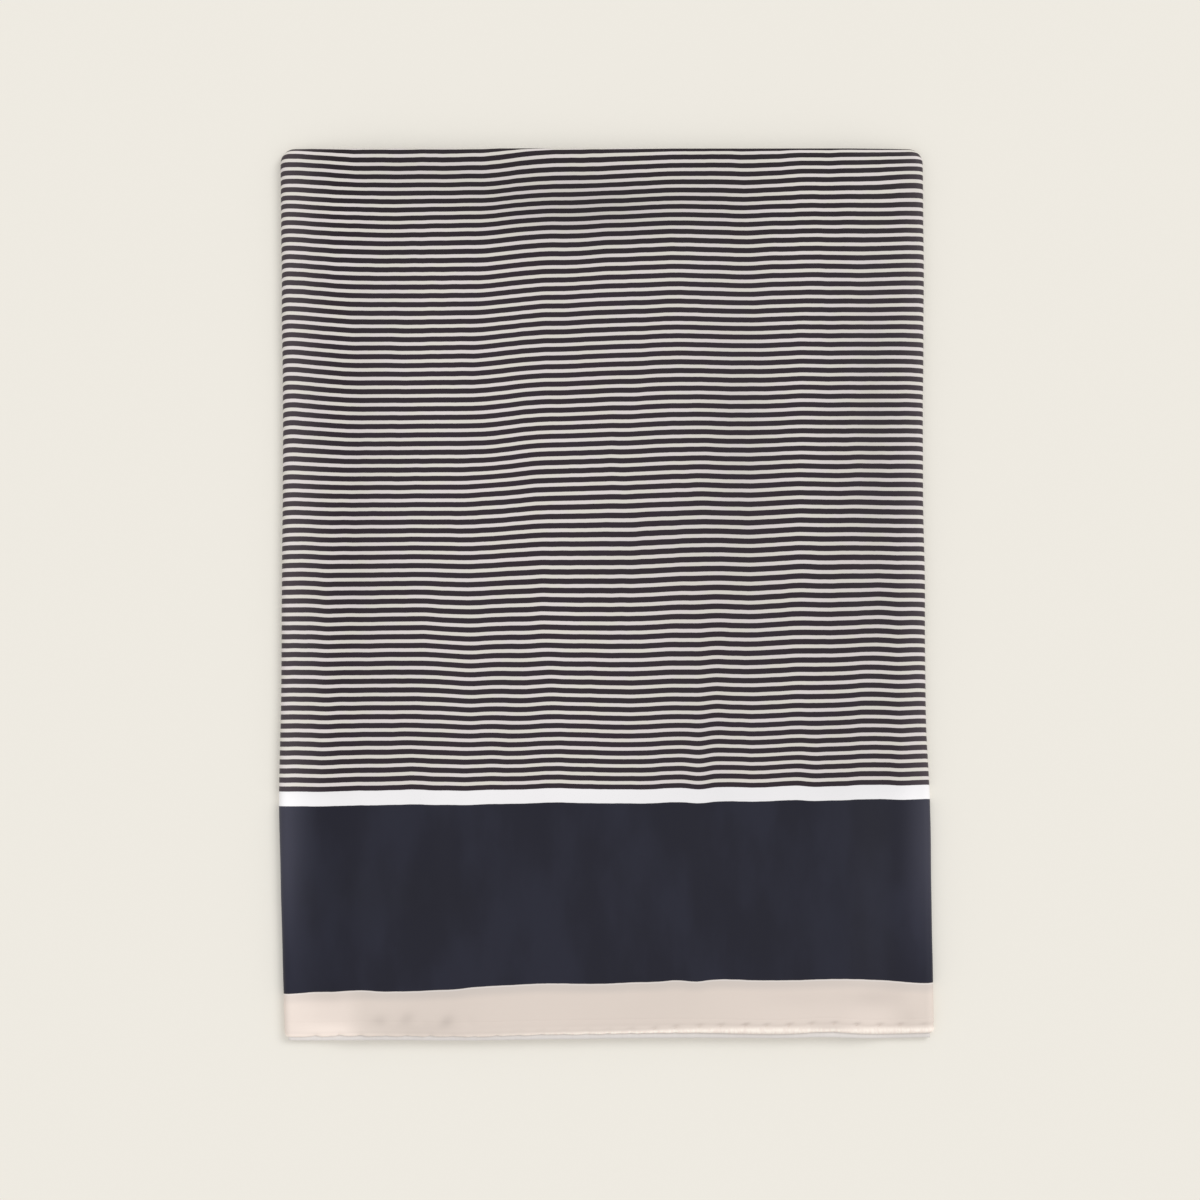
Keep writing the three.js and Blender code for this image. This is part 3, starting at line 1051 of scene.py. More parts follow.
@dataclass(frozen=True)
class PrintedSilk:
    """Silk twill with the scarf's print.

    Bands lie up from the hem. Ranges across the silk tell where a shade or a painted sheen starts and
    where it is full, and an even pair of sizes stretches a noise.
    """

    blush_top: float = 26.4
    navy_top: float = 117.1
    white_top: float = 124.3
    stripe_pitch: float = 4.483
    stripe_width: float = 2.72
    first_stripe: float = 2.45
    edge_softness: float = 0.12
    edge_bleed: float = 0.14
    bleed_scale: float = 0.9
    blush: tuple[int, int, int] = (236, 222, 212)
    navy: tuple[int, int, int] = (14, 14, 32)
    worn_navy: tuple[int, int, int] = (24, 25, 42)
    sheen_navy: tuple[int, int, int] = (66, 66, 79)
    white: tuple[int, int, int] = (238, 236, 237)
    dark_stripe: tuple[int, int, int] = (36, 23, 33)
    deep_stripe: tuple[int, int, int] = (24, 9, 20)
    sheen_stripe: tuple[int, int, int] = (71, 62, 67)
    # Paler on the roll: the silk is several layers thick there, and partly a painted highlight where the
    # roll faces up.
    rolled: tuple[int, int, int] = (247, 238, 227)
    pale_stripe: tuple[int, int, int] = (224, 216, 214)
    warm_stripe: tuple[int, int, int] = (223, 218, 209)
    # The blush is darker and greyer in a band just below the navy.
    grey_band: tuple[int, int, int] = (195, 187, 181)
    grey_band_reach: tuple[float, float] = (2.0, 6.5)
    grey_band_share: float = 0.3
    grey_band_over_layers: float = 0.2
    gap_width: float = 0.45
    gap_start: float = 0.1
    gap_share: float = 0.35
    left_layers: tuple[float, float] = (-134.0, -120.0)
    right_layers: tuple[float, float] = (40.0, 125.0)
    right_edge: tuple[float, float] = (135.0, 155.0)
    right_change: float = 0.4
    layers_tone: float = 0.935
    layers_shade: float = 0.07
    # Where the dark stripes' painted sheen lies, over the side folds.
    left_sheen: tuple[float, float] = (-172.0, -134.0)
    right_sheen: tuple[float, float] = (140.0, 170.0)
    deep_rows: tuple[float, float] = (370.0, 425.0)
    deep_share: float = 0.8
    warmth_stretch: tuple[float, float, float] = (0.05, 0.16, 0.0)
    warmth_range: tuple[float, float] = (0.4, 0.6)
    wear_stretch: tuple[float, float, float] = (0.03, 0.012, 0.0)
    wear_range: tuple[float, float] = (0.4, 0.62)
    # Where the navy's painted sheen lies, beside the side folds.
    rim: tuple[float, float] = (138.0, 165.0)
    rim_end: tuple[float, float] = (170.0, 180.0)
    rim_rows: tuple[float, float] = (20.0, 105.0)
    rim_share: float = 0.65
    cloud_scale: float = 0.035
    cloud_tone: float = 0.03
    cloud_roughness: float = 0.12
    slub_stretch: tuple[float, float, float] = (0.05, 2.2, 0.0)
    slub_tone: float = 0.02
    wrinkle_stretch: tuple[float, float, float] = (0.75, 0.3, 0.3)
    wrinkle_range: tuple[float, float] = (0.3, 0.7)
    wrinkle_relief: float = 2.0
    roll_run: tuple[float, float] = (2.4, 4.6)
    roll_share: float = 0.85
    rib_pitch: float = 0.42
    rib_relief: float = 0.4
    roughness: float = 0.5

    def material(self, name: str) -> bpy.types.Material:
        """Make the printed silk's material.

        Args:
            name: The material's name.

        Returns:
            The material.
        """
        shader = Shader(name)
        cloth = shader.attribute(CLOTH, "Vector")
        parts = shader.node("ShaderNodeSeparateXYZ", None, {0: cloth})
        across, up, from_hem = (Field(shader, part) for part in parts.outputs)
        sheen = Field(shader, shader.attribute(SHEEN, "Fac"))

        cloudy = shader.noise(cloth, self.cloud_scale, 3.0)
        slub = shader.noise(shader.scaled(cloth, self.slub_stretch), 1.0, 3.0)
        wrinkle = shader.noise(shader.scaled(cloth, self.wrinkle_stretch), 1.0, 3.0)
        in_roll = 1.0 - from_hem.ramp(*self.roll_run)
        rolled = shader.blend(
            wrinkle.ramp(*self.wrinkle_range), colour(*self.blush), colour(*self.rolled)
        )
        print_colour = self.print_colour(shader, cloth, across, up)
        over_print = shader.blend(in_roll * self.roll_share, print_colour, rolled)
        clouded = 1.0 - self.cloud_tone / 2 + cloudy * self.cloud_tone
        # sheen is painted light and shade; it scales the print together with its random cloudy tone.
        tone = sheen * (clouded + (slub - 0.5) * self.slub_tone)
        sheen_and_tone = shader.node(
            "ShaderNodeVectorMath", {"operation": "SCALE"}, {0: over_print, "Scale": tone}
        )

        rib = ((across + up) * (2 * math.pi / self.rib_pitch)).sine()
        relief = rib * self.rib_relief + (wrinkle - 0.5) * in_roll * self.wrinkle_relief
        bump = shader.node(
            "ShaderNodeBump", None, {"Strength": 0.35, "Distance": 0.00003, "Height": relief}
        )
        return shader.surface(
            {
                "Base Color": sheen_and_tone.outputs[0],
                "Roughness": self.roughness + (cloudy - 0.5) * self.cloud_roughness,
                "Specular IOR Level": 0.3,
                "Sheen Weight": 0.12,
                "Sheen Roughness": 0.4,
                "Normal": bump.outputs[0],
            }
        )

    def print_colour(
        self, shader: Shader, cloth: bpy.types.NodeSocket, across: Field, up: Field
    ) -> bpy.types.NodeSocket:
        """Lay out the print.

        Args:
            shader: The shader that takes the nodes.
            cloth: The place on the flat silk.
            across: Its part across the silk.
            up: Its part up from the hem.

        Returns:
            The socket that gives the print's colour.
        """
        inked = up + (shader.noise(cloth, self.bleed_scale) - 0.5) * self.edge_bleed
        layers = (
            across.ramp(*self.left_layers)
            - across.ramp(*self.right_layers) * self.right_change
            + across.ramp(*self.right_edge) * self.right_change
        )
        blush = self.blush_border(shader, inked, layers)
        navy = self.navy_band(shader, cloth, across, inked)
        stripes = self.stripes(shader, cloth, across, inked, layers)
        lower = shader.blend(self.past(inked, self.blush_top), blush, navy)
        middle = shader.blend(self.past(inked, self.navy_top), lower, colour(*self.white))
        return shader.blend(self.past(inked, self.white_top), middle, stripes)

    def past(self, value: Field, edge: float) -> Field:
        """Return 1 past an edge of the print and 0 before it, with the edge's softness between."""
        return value.ramp(edge - self.edge_softness, edge + self.edge_softness)

    def blush_border(self, shader: Shader, inked: Field, layers: Field) -> bpy.types.NodeSocket:
        """Colour the border, darker and greyer in a band just below the navy, with a thin light gap along
        its upper edge.

        Args:
            shader: The shader that takes the nodes.
            inked: The place up from the hem, with the ink's bleeding.
            layers: How much the layers below show through.

        Returns:
            The socket that gives the colour.
        """
        through = colour(*(round(part * self.layers_tone) for part in self.blush))
        blush = shader.blend(layers, colour(*self.blush), through)
        # Darker and greyer in a band just below the navy.
        in_grey_band = 1.0 - (self.blush_top - inked).ramp(*self.grey_band_reach)
        strength = self.grey_band_share + layers * self.grey_band_over_layers
        blush = shader.blend(in_grey_band * strength, blush, colour(*self.grey_band))
        from_gap = abs(inked - self.blush_top + self.gap_width)
        gap = 1.0 - from_gap.ramp(self.gap_start, self.gap_width)
        return shader.blend(gap * self.gap_share, blush, colour(*self.white))

    def navy_band(
        self, shader: Shader, cloth: bpy.types.NodeSocket, across: Field, inked: Field
    ) -> bpy.types.NodeSocket:
        """Colour the dark band, worn in places, and painted paler beside the side folds, a painted sheen
        where the cloth turns over them.

        Args:
            shader: The shader that takes the nodes.
            cloth: The place on the flat silk.
            across: Its part across the silk.
            inked: The place up from the hem, with the ink's bleeding.

        Returns:
            The socket that gives the colour.
        """
        worn = shader.noise(shader.scaled(cloth, self.wear_stretch), 1.0, 4.0)
        navy = shader.blend(
            worn.ramp(*self.wear_range), colour(*self.navy), colour(*self.worn_navy)
        )
        # Painted sheen: the navy is painted paler where it turns over the side folds.
        rim = abs(across).ramp(*self.rim)
        on_fold = (1.0 - abs(across).ramp(*self.rim_end)) * inked.ramp(*self.rim_rows)
        return shader.blend(rim * rim * on_fold * self.rim_share, navy, colour(*self.sheen_navy))

    def stripes(
        self,
        shader: Shader,
        cloth: bpy.types.NodeSocket,
        across: Field,
        inked: Field,
        layers: Field,
    ) -> bpy.types.NodeSocket:
        """Colour the stripes, dark on pale, the dark painted paler at the sides for a painted sheen, and
        deepest at the first fold.

        Args:
            shader: The shader that takes the nodes.
            cloth: The place on the flat silk.
            across: Its part across the silk.
            inked: The place up from the hem, with the ink's bleeding.
            layers: How much the layers below show through.

        Returns:
            The socket that gives the colour.
        """
        middle = self.white_top + self.first_stripe / 2
        phase = ((inked - middle) / self.stripe_pitch + 0.5).fract()
        away = abs(phase - 0.5) * self.stripe_pitch
        dark = 1.0 - self.past(away, self.stripe_width / 2)
        warmth = shader.noise(shader.scaled(cloth, self.warmth_stretch), 1.0, 2.0)
        pale = shader.blend(
            warmth.ramp(*self.warmth_range), colour(*self.pale_stripe), colour(*self.warm_stripe)
        )
        pale = shader.blend(layers * self.layers_shade, pale, colour(0, 0, 0))
        deep = inked.ramp(*self.deep_rows) * self.deep_share
        ink = shader.blend(deep, colour(*self.dark_stripe), colour(*self.deep_stripe))
        # Painted sheen: the dark stripes are painted paler where the cloth turns over the side folds.
        at_sheen = 1.0 - across.ramp(*self.left_sheen) + across.ramp(*self.right_sheen)
        ink = shader.blend(at_sheen, ink, colour(*self.sheen_stripe))
        return shader.blend(dark, pale, ink)


# The silk's paler, greyer wrong side, which the layer below the front shows at its hem. Its grey is
# partly a painted grey of the shade under the front's hem.
WRONG_SIDE_IN_SHADE = PrintedSilk(blush=(236, 230, 226), rolled=(246, 241, 237))


@dataclass(frozen=True)
class SewingThread:
    """The silk thread of the whip stitches."""

    thread: tuple[int, int, int] = (228, 212, 200)
    twist_tone: float = 0.85
    twist_scale: float = 4200.0

    def material(self) -> bpy.types.Material:
        """Make the thread's material.

        Returns:
            The material.
        """
        shader = Shader("sewing_thread")
        place = shader.node("ShaderNodeTexCoord").outputs["Object"]
        twist = shader.noise(place, self.twist_scale, 1.0)
        pale = colour(*self.thread)
        deep = colour(*(round(part * self.twist_tone) for part in self.thread))
        return shader.surface(
            {
                "Base Color": shader.blend(twist, deep, pale),
                "Roughness": 0.4 + twist * 0.2,
                "Specular IOR Level": 0.4,
            }
        )


@dataclass(frozen=True)
class TableTop:
    """The plain pale surface that the scarf lies on. It glows faintly, which softens shadows."""

    tone: tuple[int, int, int] = (238, 234, 225)
    glow: float = 0.25

    def material(self) -> bpy.types.Material:
        """Make the table's material.

        Returns:
            The material.
        """
        shader = Shader("table_top")
        tone = colour(*self.tone)
        paint = (*(part * (1.0 - self.glow) for part in tone[:3]), 1.0)
        return shader.surface(
            {
                "Base Color": paint,
                "Roughness": 0.9,
                "Specular IOR Level": 0.1,
                "Emission Color": tone,
                "Emission Strength": self.glow,
            }
        )


def new_object(name: str, bm: bmesh.types.BMesh, material: bpy.types.Material) -> bpy.types.Object:
    """Turn a finished bmesh into an object.

    Args:
        name: The object's name.
        bm: The shape, in metres. It is freed.
        material: What it is made of.

    Returns:
        The object, smoothly shaded, at the origin.
    """
    mesh = bpy.data.meshes.new(name)
    for face in bm.faces:
        face.smooth = True
    bm.to_mesh(mesh)
    bm.free()
    mesh.materials.append(material)
    made = bpy.data.objects.new(name, mesh)
    bpy.context.scene.collection.objects.link(made)
    return made


def declare(piece: bpy.types.Object, slot: Slot, node: str | None = None) -> None:
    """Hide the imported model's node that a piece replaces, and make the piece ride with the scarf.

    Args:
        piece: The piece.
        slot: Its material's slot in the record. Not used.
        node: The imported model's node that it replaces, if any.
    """
    if node:
        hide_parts(node)
    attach(piece, "root")


def square_to(point: Vector, ahead: Vector) -> Matrix:
    """Stand a flat ring square to a path.

    Args:
        point: The path's point that the ring goes round.
        ahead: The way that the path goes there, one unit long.

    Returns:
        The matrix that puts a ring made flat on the ground there.
    """
    side = Vector((-ahead.y, ahead.x, 0.0))
    if side.length < 0.1:  # a path that goes straight up has no side of its own
        side = Vector((0.0, 1.0, 0.0))
    side.normalize()
    turn = Matrix((side, ahead.cross(side), ahead)).transposed().to_4x4()
    return Matrix.Translation(point * MM) @ turn


def sweep_ring(bm: bmesh.types.BMesh, stands: Sequence[Matrix], radius: float, sides: int) -> None:
    """Sweep a closed ring through a row of stands.

    Args:
        bm: Takes the swept shape, closed at both ends.
        stands: Where the ring stands at each step.
        radius: The ring's radius, in millimetres.
        sides: How many sides the ring has.
    """
    ring = bmesh.ops.create_circle(bm, segments=sides, radius=radius * MM)["verts"]
    edges = list({edge for vertex in ring for edge in vertex.link_edges})
    ends = list(edges)
    bmesh.ops.transform(bm, matrix=stands[0], verts=ring)
    for before, stand in zip(stands, stands[1:]):
        made = bmesh.ops.extrude_edge_only(bm, edges=edges)["geom"]
        ring = [part for part in made if isinstance(part, bmesh.types.BMVert)]
        edges = [
            part
            for part in made
            if isinstance(part, bmesh.types.BMEdge) and set(part.verts) <= set(ring)
        ]
        bmesh.ops.transform(bm, matrix=stand @ before.inverted(), verts=ring)
    bmesh.ops.holes_fill(bm, edges=ends + edges, sides=0)


def thread_along(bm: bmesh.types.BMesh, points: Sequence[Vector], radius: float, sides: int) -> None:
    """Lay a thread through a row of points.

    Args:
        bm: Takes the thread.
        points: Where it goes.
        radius: Its radius.
        sides: How many sides it has.
    """
    stands = []
    for index, point in enumerate(points):
        before, after = points[max(index - 1, 0)], points[min(index + 1, len(points) - 1)]
        stands.append(square_to(point, (after - before).normalized()))
    sweep_ring(bm, stands, radius, sides)


@dataclass
class ThinSheet:
    """A sheet of cloth that is laid corner by corner.

    lay gives, for shares across and along the sheet, a corner's point and the same point on the flat
    silk. light gives how light the silk looks at a place.
    """

    name: str
    columns: int
    rows: int
    lay: Callable[[float, float], tuple[Vector, Vector]]
    silk: bpy.types.Material
    thickness: float
    light: Callable[[float, float], float] = field(default=lambda x, y: 1.0)
    face_down: bool = False

    def build(self) -> bpy.types.Object:
        """Build the sheet.

        Returns:
            The sheet, with its thickness laid inwards from the laid face.
        """
        bm = bmesh.new()
        bmesh.ops.create_grid(bm, x_segments=self.columns, y_segments=self.rows, size=1.0)
        flat_place = bm.verts.layers.float_vector.new(CLOTH)
        lightness = bm.verts.layers.float.new(SHEEN)
        for vertex in bm.verts:
            point, flat = self.lay((vertex.co.x + 1) / 2, (vertex.co.y + 1) / 2)
            vertex.co = point * MM
            vertex[flat_place] = flat
            vertex[lightness] = self.light(point.x, point.y)
        if self.face_down:
            bmesh.ops.reverse_faces(bm, faces=bm.faces)
        made = new_object(self.name, bm, self.silk)
        shell = made.modifiers.new("shell", "SOLIDIFY")
        shell.thickness = self.thickness * MM
        shell.offset = -1.0
        return made


@dataclass
class FrontCloth:
    """The front of the scarf, which turns down over both side folds and the first fold."""

    pack: FoldedPack
    drift: PrintDrift
    silk: bpy.types.Material
    hem: HemProfile
    thickness: float = 0.6
    margin_cells: int = 12
    middle_columns: int = 208
    hem_cells: int = 14
    hem_run: float = 14.0  # length of the finer cells beside the hem
    middle_rows: int = 178
    under_hem: float = 0.7  # how deep the cloth's end goes under its hem
    dip_run: float = 2.1  # the length over which it goes down

    @property
    def columns(self) -> int:
        """Cells across the cloth."""
        return self.middle_columns + 2 * self.margin_cells

    @property
    def rows(self) -> int:
        """Cells along the cloth."""
        return self.hem_cells + self.middle_rows + self.margin_cells

    def stop_at(self, across: float, along: float) -> Stop:
        """Find a cell corner's place on the cloth.

        Args:
            across: Share of the columns, from the left.
            along: Share of the rows, from the hem.

        Returns:
            The place, with finer cells near the folds and the hem.
        """
        cell = self.pack.margin / self.margin_cells
        column = across * self.columns
        past = max(self.margin_cells - column, column - self.columns + self.margin_cells, 0.0)
        side = 2 * (column - self.margin_cells) / self.middle_columns - 1
        side = min(max(side, -1.0), 1.0)

        row = along * self.rows
        beyond = cell * max(0.0, row - self.rows + self.margin_cells)
        hem_share = self.hem_run / self.pack.flat_run
        if row < self.hem_cells:
            up = hem_share * row / self.hem_cells
        else:
            up = mix(hem_share, 1.0, (row - self.hem_cells) / self.middle_rows)
        return Stop(side, cell * past, min(up, 1.0), beyond)

    def lay(self, across: float, along: float) -> tuple[Vector, Vector]:
        """Lay one corner of a cell.

        Args:
            across: Share of the columns, from the left.
            along: Share of the rows, from the hem.

        Returns:
            The point, and its place on the printed silk.
        """
        stop = self.stop_at(across, along)
        inwards = self.pack.hem_setback + stop.along * self.pack.flat_run
        height = self.hem.upper(stop.across * self.pack.width / 2, inwards)
        on_hem = 1.0 - ease(inwards, self.hem.meet - self.dip_run, self.hem.meet)
        height -= self.under_hem * on_hem
        point, flat = self.pack.place(stop, -height)
        up = self.drift.up_cloth(point.x, flat.y)
        up += self.drift.bend(stop.aside, stop.across < 0, point.y)
        return point, Vector((flat.x, up, flat.y - self.pack.front_line.at(point.x)))

    def build(self) -> bpy.types.Object:
        """Returns:
            The cloth.
        """
        cloth = ThinSheet(
            "front_cloth",
            self.columns,
            self.rows,
            self.lay,
            self.silk,
            self.thickness,
            light=SilkSheen().at,
        ).build()
        declare(cloth, Slot.PRINTED, "front_panel")
        return cloth

    def flat_size(self) -> tuple[float, float]:
        """Work out how much silk shows.

        Returns:
            Its width and length, in metres.
        """
        turned = 2 * (self.pack.fold_length - self.pack.fold_reach)
        width = self.pack.width + turned
        length = self.pack.length - self.pack.hem_setback + turned / 2
        return width * MM, length * MM


@dataclass
class FrontHem:
    """The front's hem: the cloth's last few millimetres and the roll that they end in."""

    pack: FoldedPack
    drift: PrintDrift
    silk: bpy.types.Material
    thread: bpy.types.Material
    hem: HemProfile
    thickness: float = 0.35
    margin_cells: int = 20
    middle_columns: int = 460
    outline_cells: int = 34
    tucked_silk: float = 3.0  # silk that the roll takes where it is turned under
    stitch_length: float = 1.8
    stitch_inset: float = 0.5  # how much nearer the edge a thread lies than its dimple
    stitch_slant: float = 0.5  # how far a thread goes inwards for its way across
    stitch_lift: float = 0.06
    stitch_bow: float = 0.5  # how much a thread bows, its ends going down into the silk
    stitch_steps: int = 5
    hidden_from: float = 0.5  # the tucked share past which no thread shows
    thread_radius: float = 0.09
    thread_sides: int = 6
    sheen: SilkSheen = field(default_factory=SilkSheen)

    def light(self, x: float, y: float) -> float:
        """Return how light the hem looks at a place."""
        inwards = y - self.pack.front_line.at(x)
        return self.sheen.at(x, y) * self.hem.light(x, inwards)

    @property
    def half(self) -> float:
        """Distance from the middle to the ends of the hem's flat part."""
        return self.pack.width / 2 - self.pack.corner_radius

    def lay(self, across: float, along: float) -> tuple[Vector, Vector]:
        """Lay one corner of a cell.

        Args:
            across: Share of the columns, from the left.
            along: Share of the outline, from the roll's inner end to the lip on the cloth.

        Returns:
            The point, and its place on the printed silk.
        """
        column = across * (self.middle_columns + 2 * self.margin_cells) - self.margin_cells
        past = max(-column, column - self.middle_columns, 0.0)
        side = min(max(2 * column / self.middle_columns - 1, -1.0), 1.0)
        x = side * self.half
        inwards, height, flat_inwards = self.hem.point(x, 1.0 - along)
        up_share = (inwards - self.pack.hem_setback) / self.pack.flat_run
        stop = Stop(side, self.pack.margin * past / self.margin_cells, up_share, 0.0)
        point, flat = self.pack.place(stop, -height)
        up = self.drift.up_cloth(point.x, flat.y - inwards + flat_inwards)
        up += self.drift.bend(stop.aside, side < 0, point.y)
        from_hem = flat_inwards + self.tucked_silk * self.pack.tucked.at(x)
        return point, Vector((flat.x, up, from_hem))

    def build(self) -> list[bpy.types.Object]:
        """Returns:
            The hem and the stitches.
        """
        roll = ThinSheet(
            "front_hem_roll",
            self.middle_columns + 2 * self.margin_cells,
            self.outline_cells,
            self.lay,
            self.silk,
            self.thickness,
            light=self.light,
        ).build()
        stitches = self.sew()
        declare(roll, Slot.BORDER, "front_hem")
        declare(stitches, Slot.BORDER)
        return [roll, stitches]

    def sew(self) -> bpy.types.Object:
        """Lay a short slanting thread in each of the stitches' dimples.

        Returns:
            The threads, as one piece.
        """
        bm = bmesh.new()
        count = int(self.half / self.hem.stitch_pitch)
        for number in range(-count, count + 1):
            x = self.hem.stitch_place(number)
            if self.pack.tucked.at(x) > self.hidden_from:
                continue
            shares = [step / self.stitch_steps - 0.5 for step in range(self.stitch_steps + 1)]
            points = [self.stitch_point(x, share) for share in shares]
            thread_along(bm, points, self.thread_radius, self.thread_sides)
        bmesh.ops.recalc_face_normals(bm, faces=bm.faces)
        return new_object("front_hem_stitches", bm, self.thread)

    def stitch_point(self, x: float, share: float) -> Vector:
        """Find a point of a stitch.

        Args:
            x: Where the stitch's middle is, across the pack.
            share: The point's place along the stitch, from -0.5 to 0.5.

        Returns:
            The point, in the pack.
        """
        aside = x + self.stitch_length * share
        slanted = self.stitch_slant * self.stitch_length * share
        inwards = self.hem.stitch_line(aside) - self.stitch_inset + slanted
        up_share = (inwards - self.pack.hem_setback) / self.pack.length
        height = self.hem.upper(aside, inwards) + self.stitch_lift - self.stitch_bow * share * share
        return self.pack.place(Stop(aside / self.half, 0.0, up_share, 0.0), -height)[0]


@dataclass
class RolledHem:
    """A hand-rolled hem: a plump, slightly uneven roll, pinched by a whip stitch now and then."""

    name: str
    node: str
    width: float
    height: float
    path: list[Vector]
    silk: bpy.types.Material
    thread: bpy.types.Material
    slot: Slot = Slot.BORDER
    up_cloth: Callable[[Vector], float] = field(default=lambda point: 1.0)
    from_hem: float = 0.0
    sides: int = 14
    step: float = 1.3
    uneven: float = 0.05
    uneven_run: float = 9.0
    stitch_pitch: float = 11.45
    pinch: float = 0.12
    pinch_reach: float = 1.1
    stitch_turn: tuple[float, float] = (-25.0, 165.0)
    stitch_steps: int = 6
    stitch_slant: float = 1.8
    thread_radius: float = 0.14
    thread_sides: int = 5
    thread_proud: float = 0.3  # share of the thread's radius that stands off the roll

    def stations(self) -> list[tuple[Vector, Vector, float]]:
        """Walk the path.

        Returns:
            Points at even steps along it, with the way ahead and the distance walked.
        """
        lengths = [0.0]
        for before, after in zip(self.path, self.path[1:]):
            lengths.append(lengths[-1] + (after - before).length)
        count = max(2, round(lengths[-1] / self.step))
        found = []
        leg = 0
        for number in range(count + 1):
            walked = lengths[-1] * number / count
            while leg < len(lengths) - 2 and lengths[leg + 1] < walked:
                leg += 1
            share = (walked - lengths[leg]) / (lengths[leg + 1] - lengths[leg])
            found.append((self.path[leg].lerp(self.path[leg + 1], share), walked))
        made = []
        for index, (point, walked) in enumerate(found):
            before = found[max(index - 1, 0)][0]
            after = found[min(index + 1, count)][0]
            made.append((point, (after - before).normalized(), walked))
        return made

    def fullness(self, walked: float) -> float:
        """Find the roll's fullness, which is less where a stitch pinches it.

        Args:
            walked: The distance along the roll.

        Returns:
            The fullness, about 1.
        """
        pitch = self.stitch_pitch
        to_stitch = (walked + pitch / 2) % pitch - pitch / 2
        uneven = self.uneven * smooth_noise(walked / self.uneven_run, len(self.name), 0.5)
        return 1.0 + uneven - self.pinch * hump(to_stitch, self.pinch_reach)

    def build(self) -> list[bpy.types.Object]:
        """Returns:
            The roll and the stitches.
        """
        bm = bmesh.new()
        stations = self.stations()
        stands = []
        for point, ahead, walked in stations:
            full = self.fullness(walked)
            size = Matrix.Diagonal((self.width * full, self.height * full, 1.0, 1.0))
            stands.append(square_to(point, ahead) @ size)
        sweep_ring(bm, stands, 0.5, self.sides)
        bmesh.ops.recalc_face_normals(bm, faces=bm.faces)
        flat_place = bm.verts.layers.float_vector.new(CLOTH)
        light = bm.verts.layers.float.new(SHEEN)
        for vertex in bm.verts:
            vertex.co.z = max(vertex.co.z, FLOOR * MM)
            up = self.up_cloth(vertex.co / MM)
            vertex[flat_place] = Vector((vertex.co.x / MM, up, self.from_hem))
            vertex[light] = 1.0
        roll = new_object(self.name, bm, self.silk)
        stitches = self.sew(stations)
        declare(roll, self.slot, self.node)
        declare(stitches, self.slot)
        return [roll, stitches]

    def sew(self, stations: list[tuple[Vector, Vector, float]]) -> bpy.types.Object:
        """Make the whip stitches, each a short thread laid slantwise over the roll.

        Args:
            stations: The roll's path, as walked.

        Returns:
            The threads, as one piece.
        """
        bm = bmesh.new()
        count = int(stations[-1][2] / self.stitch_pitch)
        for number in range(1, count):
            index = min(round(number * self.stitch_pitch / self.step), len(stations) - 1)
            point, ahead, walked = stations[index]
            stand = square_to(point, ahead)
            full = self.fullness(walked)
            proud = self.thread_proud * self.thread_radius
            points = []
            for step in range(self.stitch_steps + 1):
                share = step / self.stitch_steps
                angle = math.radians(mix(*self.stitch_turn, share))
                aside = math.cos(angle) * (self.width / 2 * full + proud)
                lift = math.sin(angle) * (self.height / 2 * full + proud)
                along = self.stitch_slant * (share - 0.5)
                points.append(stand @ (Vector((aside, lift, along)) * MM) / MM)
            thread_along(bm, points, self.thread_radius, self.thread_sides)
        bmesh.ops.recalc_face_normals(bm, faces=bm.faces)
        return new_object(f"{self.name}_stitches", bm, self.thread)


